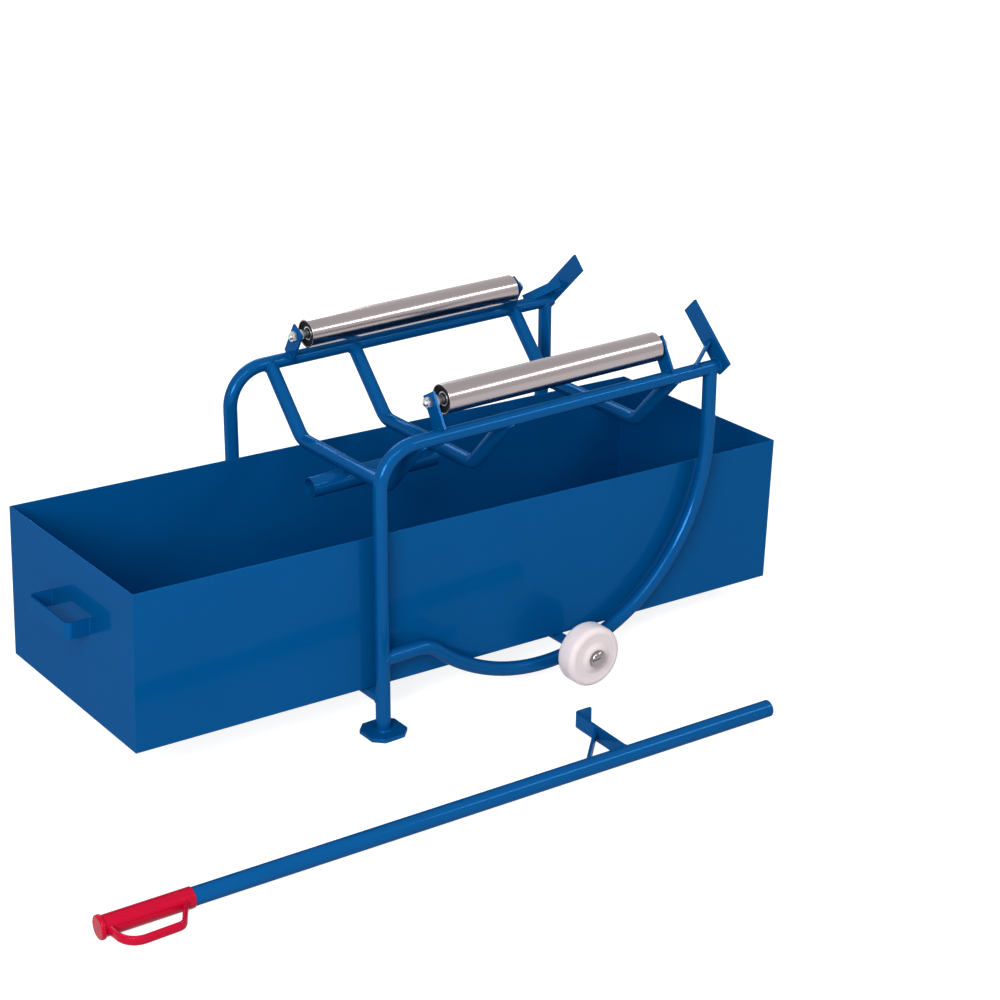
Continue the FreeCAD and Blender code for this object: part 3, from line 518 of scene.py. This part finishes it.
def bearing_profile(depth, outer, bore):
    """Closed section of an insert from the bore outwards: hub, dished and grooved seal, raised rim."""
    hub, groove_start, groove_end, rim = 0.0110, 0.0150, 0.0170, 0.0200
    dish, bottom, draft, flank, edge = 0.0020, 0.0026, 0.0008, 0.0005, 0.0004
    points = [
        (depth, bore), (0.0, bore), (0.0, hub), (dish, hub + draft),
        (dish, groove_start), (bottom, groove_start + flank),
        (bottom, groove_end - flank), (dish, groove_end),
        (dish, rim - draft), (0.0, rim), (0.0, outer), (depth, outer), (depth, bore),
    ]
    return rounded(points, [edge] * (len(points) - 2), 4)[:-1]


def race_profile():
    """Section of the bright ring that stands in an insert's dish, open at its hidden back."""
    front, back, inner, outer, edge = 0.0010, 0.0026, 0.0112, 0.0137, 0.0003
    return rounded([(back, inner), (front, inner), (front, outer), (back, outer)], [edge] * 2, 4)


class TIPPER_OT_rollers(bpy.types.Operator):
    """Turn the roller shells, their bearing inserts and bright races."""

    bl_idname = "tipper.rollers"
    bl_label = "Rollers"

    def execute(self, context):
        for side in SIDES:
            self.turn_roller(side)
        return {"FINISHED"}

    def turn_roller(self, side):
        """One tube with rounded rims, and in each end a recessed insert with its race."""
        wall, edge, recess, depth = 0.0030, 0.0010, 0.0030, 0.0140
        fit, bore = 0.00005, 0.00605
        tube_steps, insert_steps = 128, 72
        body = f"roller_{side}"
        low, high = node_box(f"roller_shell_{side}")
        outer = (high[1] - low[1]) / 2
        base = np.array([0.0, (low[1] + high[1]) / 2, (low[2] + high[2]) / 2])
        section = ring_profile(low[0], high[0], outer - wall, outer, edge)
        tube = lathe(section, base, X_AXIS, tube_steps, loop=True)
        dress(solid(f"roller_tube_{side}", [tube]), "roller_steel", body, f"roller_shell_{side}")
        races = []
        for end, face, inward in zip(ENDS, (low[0] + recess, high[0] - recess), (X_AXIS, -X_AXIS)):
            place = base + X_AXIS * face
            section = bearing_profile(depth, outer - wall - fit, bore)
            insert = lathe(section, place, inward, insert_steps, loop=True)
            node = f"roller_bearing_{side}_{end}"
            dress(solid(f"insert_{side}_{end}", [insert]), "bearing_black", body, node)
            races.append(lathe(race_profile(), place, inward, insert_steps, loop=True))
        dress(solid(f"bearing_races_{side}", races), "plated_steel", body)


def nut_grid(start, high, across, bore, base):
    """A hexagon nut with chamfered corners along X.

    At each angle the flank is the hexagon's a / cos(angle from the flat's middle), cut by two cones
    whose radius grows from the end faces; the bore closes the ring.
    """
    steps, chamfer, face_share, cone_angle = 6, 0.0016, 0.97, math.radians(60.0)
    flat, sixth = across / 2, math.pi / 3
    angle = turns(72)
    hexagon = flat / np.cos((angle + sixth / 2) % sixth - sixth / 2)
    along = np.concatenate((np.linspace(0.0, chamfer, steps), np.linspace(high - chamfer, high, steps)))
    rise = np.minimum(along, high - along)
    cone = flat * face_share + rise * math.tan(cone_angle)
    radius = np.minimum(hexagon[None], cone[:, None])
    hole = np.full_like(angle, bore)
    along = np.concatenate(([0.0], along, [high]))
    return sheet(around_x(start + along, np.vstack((hole, radius, hole)), angle, base), loop=True)


def thread_grid(start, end, radius, edges, base):
    """A rod along X with a thread at both ends.

    The thread's radius falls by depth * |2 * fraction - 1| with the fraction of a pitch that the
    place along the rod lags behind the angle; a short cone eases both ends.
    """
    threaded, steps_per_pitch = 0.034, 8
    tip_drop, tip_slope = 0.0015, 1.2
    step = edges.thread_pitch / steps_per_pitch
    along = np.concatenate((
        np.arange(start, start + threaded, step), np.arange(end - threaded, end, step), [end]))
    angle = turns(48)
    lag = (along[:, None] / edges.thread_pitch - angle[None] / FULL_TURN) % 1.0
    depth = edges.thread_depth * np.abs(2 * lag - 1)
    inner = np.minimum(along - start, end - along)
    depth[inner > threaded - 1.5 * step] = 0.0
    cone = radius - tip_drop + inner * tip_slope
    rod = np.minimum(radius - depth, cone[:, None])
    centre = np.zeros_like(angle)
    along = np.concatenate(([start], along, [end]))
    return sheet(around_x(along, np.vstack((centre, rod, centre)), angle, base))


class TIPPER_OT_fasteners(bpy.types.Operator):
    """Cut the threads of the roller axles and the chamfers of their nuts."""

    bl_idname = "tipper.fasteners"
    bl_label = "Axles and nuts"

    def execute(self, context):
        edges = context.scene.tipper_edges
        across, bore, high = 0.019, 0.0055, 0.010
        for side in SIDES:
            axle = f"roller_axle_{side}"
            low, top = node_box(axle)
            base = np.array([0.0, (low[1] + top[1]) / 2, (low[2] + top[2]) / 2])
            rod = thread_grid(low[0], top[0], (top[1] - low[1]) / 2, edges, base)
            dress(solid(f"threaded_axle_{side}", [rod], SOFT_EDGE), "plated_steel", "frame", axle)
            for place in ("outer", "inner"):
                node = f"roller_{place}_nuts_{side}"
                low, top = node_box(node)
                nuts = [nut_grid(start, high, across, bore, base) for start in (low[0], top[0] - high)]
                dress(solid(f"{place}_hex_nuts_{side}", nuts, NUT_EDGE), "plated_steel", "frame", node)
        return {"FINISHED"}


class TIPPER_OT_wheels(bpy.types.Operator):
    """Turn the nylon wheels and their domed caps."""

    bl_idname = "tipper.wheels"
    bl_label = "Wheels"

    def execute(self, context):
        tread_round = context.scene.tipper_edges.tread_round
        wheel_steps, cap_steps = 128, 96
        for side, sign in SIDES.items():
            axis = Y_AXIS * sign
            wheel, cap = f"wheel_{side}", f"wheel_cap_{side}"
            centre = middle(wheel) * (1.0, 0.0, 1.0)
            section = self.wheel_profile(*self.reach(wheel), tread_round)
            turned = lathe(section, centre, axis, wheel_steps, loop=True)
            dress(solid(f"nylon_wheel_{side}", [turned], SOFT_EDGE), "wheel_nylon", wheel, wheel)
            turned = lathe(self.cap_profile(*self.reach(cap)), centre, axis, cap_steps)
            dress(solid(f"domed_cap_{side}", [turned], SOFT_EDGE), "cap_chrome", "frame", cap)
        return {"FINISHED"}

    def reach(self, node):
        """Near and far face, as distances from the middle of the frame, and radius of a turned solid."""
        low, high = node_box(node)
        near, far = sorted(abs(np.array([low[1], high[1]])))
        return near, far, (high[0] - low[0]) / 2

    def wheel_profile(self, near, far, radius, tread_round):
        """Half section of the wheel from bore to bore: inner hub, web, round tread, web, outer hub."""
        bore, hub, web = 0.01005, 0.0265, 0.0455
        inner_step, outer_step, dish = 0.006, 0.004, 0.0005
        nose, ramp, slope = 0.001, 0.003, 0.005
        inner_face, outer_face = near + inner_step, far - outer_step
        inner_web, outer_web = inner_face + dish, outer_face - dish
        corners = [
            (near, bore), (near, hub - nose), (inner_web, hub + ramp), (inner_web, web),
            (inner_face, web + ramp), (inner_face, radius), (outer_face, radius), (outer_face, web + ramp),
            (outer_web, web), (outer_web, hub + slope), (far, hub - slope), (far, bore), (near, bore),
        ]
        inner_edge, soft, broad, bore_edge = 0.0015, 0.0055, 0.0090, 0.0010
        radii = [inner_edge, soft, soft, soft, tread_round, tread_round, soft, soft, broad, broad, bore_edge]
        return rounded(corners, radii, 8)[:-1]

    def cap_profile(self, near, far, radius):
        """Push-on cap, a little smaller than its solid: a short straight rim, then a full dome.

        The dome rises as sin(swing) while its radius falls as cos(swing) ** 0.9.
        """
        width_share, rise_share = 0.90, 0.66
        rim_height, rim_edge, fullness = 0.003, 0.0005, 0.9
        radius = width_share * radius
        rim, crown = near + rim_height, near + rise_share * (far - near)
        swing = np.linspace(0.0, math.pi / 2, 14)
        dome = np.stack((rim + (crown - rim) * np.sin(swing), radius * np.cos(swing) ** fullness), axis=1)
        return np.concatenate(([[near, 0.0], [near, radius - rim_edge], [near + rim_edge, radius]], dome))


def pitch_matrix(angle):
    """Rotation about Y."""
    cos, sin = math.cos(angle), math.sin(angle)
    return np.array([[cos, 0.0, sin], [0.0, 1.0, 0.0], [-sin, 0.0, cos]])


def lever_turn():
    """Rotation of the lever: yaw about Z after a small pitch about Y."""
    cos, sin = math.cos(LEVER_YAW), math.sin(LEVER_YAW)
    yaw = np.array([[cos, -sin, 0.0], [sin, cos, 0.0], [0.0, 0.0, 1.0]])
    return yaw @ pitch_matrix(LEVER_PITCH)


def on_lever(points):
    """Lever coordinates (X to the plain end, Y to the hook) to the model's."""
    return LEVER_TIP + np.asarray(points, float) @ lever_turn().T


def on_tray(points):
    """Tray coordinates from the front lower corner to the model's."""
    return TRAY_CORNER + np.asarray(points, float) @ pitch_matrix(TRAY_TILT).T


class TIPPER_OT_grip(bpy.types.Operator):
    """Mould the lever's grip and its finger guard."""

    bl_idname = "tipper.grip"
    bl_label = "Grip"

    def execute(self, context):
        outer = 0.01825
        grip = lathe(self.grip_profile(outer), LEVER_TIP, lever_turn() @ X_AXIS)
        dress(solid("moulded_grip", [grip], SOFT_EDGE), "grip_red", "lever", "lever_grip")
        guard = self.guard_grid(outer)
        dress(solid("moulded_guard", [guard], SOFT_EDGE), "grip_red", "lever", "lever_guard")
        return {"FINISHED"}

    def grip_profile(self, outer):
        """Half section of the grip from inside its mouth to the faint dimple of its flanged end."""
        mouth, step, end = -1.204, -1.362, -1.371
        lip, flange, dimple_radius, dimple = 0.004, 0.0210, 0.010, 0.0006
        corners = [
            (mouth - lip, LEVER_RADIUS), (mouth, LEVER_RADIUS), (mouth, outer), (step, outer), (step, flange),
            (end, flange), (end + dimple, dimple_radius), (end, 0.0),
        ]
        return rounded(corners, [0.0004, 0.0012, 0.0012, 0.0026, 0.0032, 0.004], 6)

    def guard_grid(self, outer):
        """A soft flat strip on edge along the guard's path, wider where it grows out of the grip.

        A point of the section lies at half thickness * cos^0.7 across the path and half height * sin^0.7
        above it, each power with the sign of its base. The widening fades as exp(-distance / fade).
        """
        half_thickness, half_height, squareness = 0.0045, 0.0080, 0.7
        widening, fade = 0.35, 0.006
        corners = [
            (-1.2195, -0.010, 0.0), (-1.250, -0.066, 0.0), (-1.350, -0.0700, 0.0), (-1.3556, -0.010, 0.0)]
        path = even_path(rounded(corners, [0.018, 0.034], 14), 160)
        aside = np.cross(Z_AXIS, unit(np.gradient(path, axis=0)))
        angle = turns(32)
        across = np.sign(np.cos(angle)) * np.abs(np.cos(angle)) ** squareness
        above = np.sign(np.sin(angle)) * np.abs(np.sin(angle)) ** squareness
        flare = np.exp(np.minimum((path[:, 1] + outer) / fade, 0.0))
        wide = half_thickness * (1.0 + widening * flare)
        points = path[:, None] + wide[:, None, None] * across[None, :, None] * aside[:, None]
        return sheet(on_lever(points + half_height * above[None, :, None] * Z_AXIS))


# Points round a joint, along an arc, along a straight seam and round the bead itself.
JOINT_POINTS, ARC_POINTS, SEAM_POINTS, BEAD_SIDES = 72, 48, 36, 12
# Bead sizes as shares of the full bead.
FULL, SLIM, THIN, FINE = 1.0, 0.85, 0.8, 0.7


def bead(path, outward, edges, loop=False, scale=FULL):
    """A weld bead: a circle carried along a seam, with ripples and, on an open seam, pinched ends.

    radius = bead * (1 + ripple * sin(2 pi * length / pitch)) * (1 - |2 t - 1|^6)^(1/2)
    """
    length = run_length(path)
    radius = edges.bead * scale * (1.0 + edges.bead_ripple * np.sin(FULL_TURN * length / edges.bead_pitch))
    if not loop:
        share = length / length[-1]
        radius = radius * np.sqrt(1.0 - np.abs(2.0 * share - 1.0) ** 6)
    return carry(path, outward, radius, BEAD_SIDES, loop)


def saddle_bead(meet, along, bar, edges):
    """Bead where a tube runs into a tube of the same size.

    At angle a round the tube, its wall meets the other tube at R * |cos a| from that tube's axis.
    """
    angle = turns(JOINT_POINTS)[:, None]
    outward = np.cos(angle) * bar + np.sin(angle) * np.cross(along, bar)
    path = meet + TUBE_RADIUS * (np.abs(np.cos(angle)) * along + outward)
    return bead(path, outward, edges, loop=True)


def ring_bead(centre, radius, edges):
    """Bead round a level circle: centre + radius * (cos a * X + sin a * Y)."""
    angle = turns(ARC_POINTS)[:, None]
    outward = np.cos(angle) * X_AXIS + np.sin(angle) * Y_AXIS
    return bead(centre + radius * outward, outward, edges, loop=True)


def arc_bead(centre, first, second, radius, start, end, edges, scale=FULL):
    """Bead on an arc: centre + radius * (cos a * first + sin a * second)."""
    angle = np.linspace(start, end, ARC_POINTS)[:, None]
    outward = np.cos(angle) * first + np.sin(angle) * second
    return bead(centre + radius * outward, outward, edges, scale=scale)


def seam_bead(start, end, outward, edges, scale):
    """Bead on a straight seam: (1 - t) * start + t * end."""
    share = np.linspace(0.0, 1.0, SEAM_POINTS)[:, None]
    path = (1.0 - share) * start + share * end
    return bead(path, np.tile(outward, (len(path), 1)), edges, scale=scale)


def stop_axes(sign):
    """Directions up along a stop bar and across it, square to X."""
    cos, sin = math.cos(STOP_LEAN), math.sin(STOP_LEAN)
    return np.array([0.0, -sign * cos, sin]), np.array([0.0, sign * sin, cos])


def side_frame_beads(side, sign, edges):
    """Beads of one side frame: cradle legs, rocker, low tube, foot, brackets, stop and axle seat."""
    rail = np.array([0.0, sign * RAIL_SIDE, RAIL_HEIGHT])
    post = np.array([0.0, sign * RAIL_SIDE, 0.0])
    beads = []
    for name in ("front", "middle", "rear"):
        place = rail + X_AXIS * middle(f"cradle_tube_{name}")[0]
        beads.append(saddle_bead(place, CRADLE_SLOPE * (1.0, -sign, -1.0), X_AXIS, edges))
    beads.append(saddle_bead(rail + X_AXIS * ROCKER_X, -Z_AXIS, X_AXIS, edges))
    beads.append(saddle_bead(post + Z_AXIS * TOE_HEIGHT, X_AXIS, Z_AXIS, edges))
    beads.append(saddle_bead(post + Z_AXIS * middle("low_cross_tube")[2], -sign * Y_AXIS, Z_AXIS, edges))
    proud = 0.0008
    foot_top = post + Z_AXIS * node_box(f"foot_plate_{side}")[1, 2]
    beads.append(arc_bead(foot_top, X_AXIS, Y_AXIS, TUBE_RADIUS + proud, 0.0, FULL_TURN, edges))
    lean = np.array([0.0, -sign * math.cos(BRACKET_LEAN), math.sin(BRACKET_LEAN)])
    bracket_radius = TUBE_RADIUS + 0.0004
    for end in ENDS:
        for face in node_box(f"roller_bracket_{side}_{end}")[:, 0] + np.array([-proud, proud]):
            beads.append(arc_bead(
                rail + X_AXIS * face, lean, np.cross(lean, X_AXIS), bracket_radius,
                -BRACKET_WRAP, BRACKET_WRAP, edges, SLIM))
    across = stop_axes(sign)[1]
    stop_inset, stop_radius, stop_wrap = 0.0010, TUBE_RADIUS + 0.0006, 2.05
    beads.append(arc_bead(
        rail + X_AXIS * (RAIL_END - stop_inset), across, np.cross(across, X_AXIS), stop_radius,
        -stop_wrap, stop_wrap, edges))
    beads += strut_beads(sign, edges)
    axle = middle("wheel_axle")
    seat_drop, seat_radius = 0.0086, 0.0078
    seat = np.array([axle[0], sign * RAIL_SIDE, axle[2] - seat_drop])
    beads.append(ring_bead(seat, seat_radius, edges))
    return beads


def strut_beads(sign, edges):
    """Beads of a stop strut: two across the stop bar and two over the rail.

    With the rail's axis at height 0 and the strut's foot at run from the bar, the strut's middle line
    is x = height * run / rise - run; over the rail the height is R * cos(angle).
    """
    run, rise, offset, half = 0.066, 0.047, 0.0125, 0.0100
    bar_gap, rail_gap, far_angle = 0.0034, 0.0048, 1.35
    up, across = stop_axes(sign)
    rail = np.array([RAIL_END, sign * RAIL_SIDE, RAIL_HEIGHT])
    beads = []
    for shift in (-bar_gap, bar_gap):
        place = rail + up * (rise + shift) + across * offset
        beads.append(seam_bead(place - across * half, place + across * half, -X_AXIS, edges, FINE))
    near_angle = math.asin((offset - half) / TUBE_RADIUS)
    angle = np.linspace(near_angle, far_angle, SEAM_POINTS)[:, None]
    outward = np.cos(angle) * up + np.sin(angle) * across
    along = np.cos(angle) * TUBE_RADIUS * run / rise - run
    for shift in (-rail_gap, rail_gap):
        path = rail + outward * TUBE_RADIUS + (along + shift) * X_AXIS
        beads.append(bead(path, outward, edges, scale=FINE))
    return beads


def socket_beads(edges):
    """Short beads on both sides of the cradle tubes where the lever socket hangs from them."""
    gap, proud, wrap = 0.0065, 0.0010, 0.45
    low, high = node_box("lever_socket_tube")
    radius = (high[1] - low[1]) / 2 + proud
    centre = np.array([0.0, 0.0, (low[2] + high[2]) / 2])
    beads = []
    for name in ("front", "middle"):
        for shift in (-gap, gap):
            place = centre + X_AXIS * (middle(f"cradle_tube_{name}")[0] + shift)
            beads.append(arc_bead(place, Z_AXIS, Y_AXIS, radius, -wrap, wrap, edges))
    return beads


def tray_beads(edges):
    """Upright beads on both sides of each end of the tray handles."""
    height, half, inner, outer = 0.178, 0.0155, 0.0708, 0.0772
    beads = []
    for wall, outward in ((0.0, -X_AXIS), (TRAY_LENGTH, X_AXIS)):
        for place in (-outer, -inner, inner, outer):
            start, end = on_tray([(wall, place, height - half), (wall, place, height + half)])
            beads.append(seam_bead(start, end, outward, edges, THIN))
    return beads


def lever_beads(edges):
    """Beads of the lever's hook and of the strut behind it."""
    turn = lever_turn()
    radius = LEVER_RADIUS + 0.0004
    hook, hook_gap, hook_wrap = -0.328, 0.0036, 1.10
    strut, strut_gap, strut_wrap = -0.4032, 0.0046, 0.62
    beads = []
    for root, gap, wrap in ((hook, hook_gap, hook_wrap), (strut, strut_gap, strut_wrap)):
        for shift in (-gap, gap):
            centre = on_lever((root + shift, 0.0, 0.0))
            beads.append(arc_bead(centre, turn @ Y_AXIS, turn @ Z_AXIS, radius, -wrap, wrap, edges, SLIM))
    face, half = hook - 0.0034, 0.010
    for reach in (0.0895, 0.0985):
        start, end = on_lever([(face, reach, -half), (face, reach, half)])
        beads.append(seam_bead(start, end, turn @ -X_AXIS, edges, THIN))
    return beads


class TIPPER_OT_welds(bpy.types.Operator):
    """Lay the weld beads of the frame, the tray and the lever."""

    bl_idname = "tipper.welds"
    bl_label = "Weld beads"

    def execute(self, context):
        edges = context.scene.tipper_edges
        frame_beads = [one for side, sign in SIDES.items() for one in side_frame_beads(side, sign, edges)]
        dress(solid("frame_welds", frame_beads + socket_beads(edges), BEAD_EDGE), "frame_blue", "frame")
        dress(solid("tray_welds", tray_beads(edges), BEAD_EDGE), "tray_blue", "tray")
        dress(solid("lever_welds", lever_beads(edges), BEAD_EDGE), "lever_blue", "lever")
        return {"FINISHED"}


class TIPPER_OT_stage(bpy.types.Operator):
    """Set up the floor, the backdrop, the soft lights and the camera."""

    bl_idname = "tipper.stage"
    bl_label = "Set the stage"

    def execute(self, context):
        stage = context.scene.tipper_stage
        add_floor(stage.floor_side)
        add_world(context.scene)
        add_lights()
        add_camera(context.scene, stage)
        context.scene.view_settings.view_transform = "Standard"
        return {"FINISHED"}


# Grey of the floor under light, and its own glow where it is seen.
FLOOR_GREY, FLOOR_GLOW = 0.42, 0.86
# Strength of the sky as light, and where it is seen.
SKY_LIGHT, SKY_SEEN = 0.36, 1.0
# Soft boxes: name, place, aim, width and height in metres, and power in watts.
SOFT_BOXES = (
    ("key", (-3.4, -3.0, 2.3), (0.2, 0.0, 0.2), (1.8, 1.8), 180.0),
    ("fill", (3.0, -3.0, 3.0), (0.3, 0.0, 0.3), (2.6, 0.6), 46.0),
    ("top box", (-1.2, -2.6, 3.2), (0.3, 0.0, 0.5), (2.6, 0.45), 42.0),
    ("back", (1.2, 3.8, 2.8), (0.2, 0.0, 0.3), (2.4, 2.4), 110.0),
)


def seen_directly(tree):
    """1 for camera, glossy and transmission rays, 0 for the rest."""
    path = tree.nodes.new("ShaderNodeLightPath")
    seen = path.outputs["Is Camera Ray"]
    for kind in ("Is Glossy Ray", "Is Transmission Ray"):
        either = tree.nodes.new("ShaderNodeMath")
        either.operation = "MAXIMUM"
        tree.links.new(seen, either.inputs[0])
        tree.links.new(path.outputs[kind], either.inputs[1])
        seen = either.outputs["Value"]
    return seen


def add_floor(side):
    """A flat pale square whose own faint glow makes it white where it is seen."""
    half = side / 2
    corners = [(-half, -half, 0.0), (half, -half, 0.0), (half, half, 0.0), (-half, half, 0.0)]
    mesh = bpy.data.meshes.new("floor")
    mesh.from_pydata(corners, [], [(0, 1, 2, 3)])
    floor = bpy.data.objects.new("floor", mesh)
    bpy.context.collection.objects.link(floor)
    material, tree, shader = new_shader("pale_floor")
    set_sockets(shader, {
        "Base Color": (FLOOR_GREY, FLOOR_GREY, FLOOR_GREY, 1.0), "Roughness": 0.9, "Specular IOR Level": 0.0,
        "Emission Color": WHITE})
    glow = tree.nodes.new("ShaderNodeMath")
    glow.operation = "MULTIPLY"
    glow.inputs[1].default_value = FLOOR_GLOW
    tree.links.new(seen_directly(tree), glow.inputs[0])
    tree.links.new(glow.outputs["Value"], shader.inputs["Emission Strength"])
    mesh.materials.append(material)


def add_world(scene):
    """An even sky: white where it is seen, softer as light."""
    world = bpy.data.worlds.new("studio")
    scene.world = world
    world.use_nodes = True
    tree = world.node_tree
    background = tree.nodes["Background"]
    background.inputs["Color"].default_value = WHITE
    span = tree.nodes.new("ShaderNodeMapRange")
    span.inputs["To Min"].default_value = SKY_LIGHT
    span.inputs["To Max"].default_value = SKY_SEEN
    tree.links.new(seen_directly(tree), span.inputs["Value"])
    tree.links.new(span.outputs["Result"], background.inputs["Strength"])


def add_lights():
    """Four soft boxes: in front on the left, a narrow one on the right, a narrow one above, one behind."""
    for name, place, aim, size, power in SOFT_BOXES:
        data = bpy.data.lights.new(name, "AREA")
        data.shape = "RECTANGLE"
        data.size, data.size_y = size
        data.energy = power
        lamp = bpy.data.objects.new(name, data)
        lamp.location = place
        lamp.rotation_euler = (Vector(aim) - Vector(place)).to_track_quat("-Z", "Y").to_euler()
        bpy.context.collection.objects.link(lamp)


def add_camera(scene, stage):
    """A camera turned by heading, dip and roll about its place."""
    forward = Vector((
        math.sin(stage.heading) * math.cos(stage.dip),
        math.cos(stage.heading) * math.cos(stage.dip),
        -math.sin(stage.dip)))
    level = forward.cross(Vector(Z_AXIS)).normalized()
    upright = level.cross(forward)
    right = level * math.cos(stage.roll) + upright * math.sin(stage.roll)
    up = upright * math.cos(stage.roll) - level * math.sin(stage.roll)
    data = bpy.data.cameras.new("camera")
    data.lens = stage.lens
    data.shift_x = stage.shift_x
    data.shift_y = stage.shift_y
    camera = bpy.data.objects.new("camera", data)
    turn = Matrix((right, up, -forward)).transposed().to_4x4()
    camera.matrix_world = Matrix.Translation((stage.place_x, stage.place_y, stage.place_z)) @ turn
    bpy.context.collection.objects.link(camera)
    scene.camera = camera


class TIPPER_PT_panel(bpy.types.Panel):
    """The steps that dress the drum tipper."""

    bl_idname = "TIPPER_PT_panel"
    bl_label = "Drum tipper"
    bl_space_type = "VIEW_3D"
    bl_region_type = "UI"
    bl_category = "Drum tipper"

    def draw(self, context):
        for step in STEPS:
            self.layout.operator(step.bl_idname)


STEPS = (
    TIPPER_OT_paint, TIPPER_OT_flat_bars, TIPPER_OT_tray, TIPPER_OT_rollers, TIPPER_OT_fasteners,
    TIPPER_OT_wheels, TIPPER_OT_grip, TIPPER_OT_welds, TIPPER_OT_stage,
)
GROUPS = {"tipper_finish": TipperFinish, "tipper_edges": TipperEdges, "tipper_stage": TipperStage}


def register():
    """Register the property groups, the steps and the panel."""
    for item in (*GROUPS.values(), *STEPS, TIPPER_PT_panel):
        bpy.utils.register_class(item)
    for name, group in GROUPS.items():
        setattr(bpy.types.Scene, name, bpy.props.PointerProperty(type=group))


def unregister():
    """Take everything away again, in the opposite order."""
    for name in GROUPS:
        delattr(bpy.types.Scene, name)
    for item in reversed((*GROUPS.values(), *STEPS, TIPPER_PT_panel)):
        bpy.utils.unregister_class(item)


def main():
    """Dress the model step by step."""
    register()
    for step in STEPS:
        family, name = step.bl_idname.split(".")
        getattr(getattr(bpy.ops, family), name)()


if __name__ == "__main__":
    main()
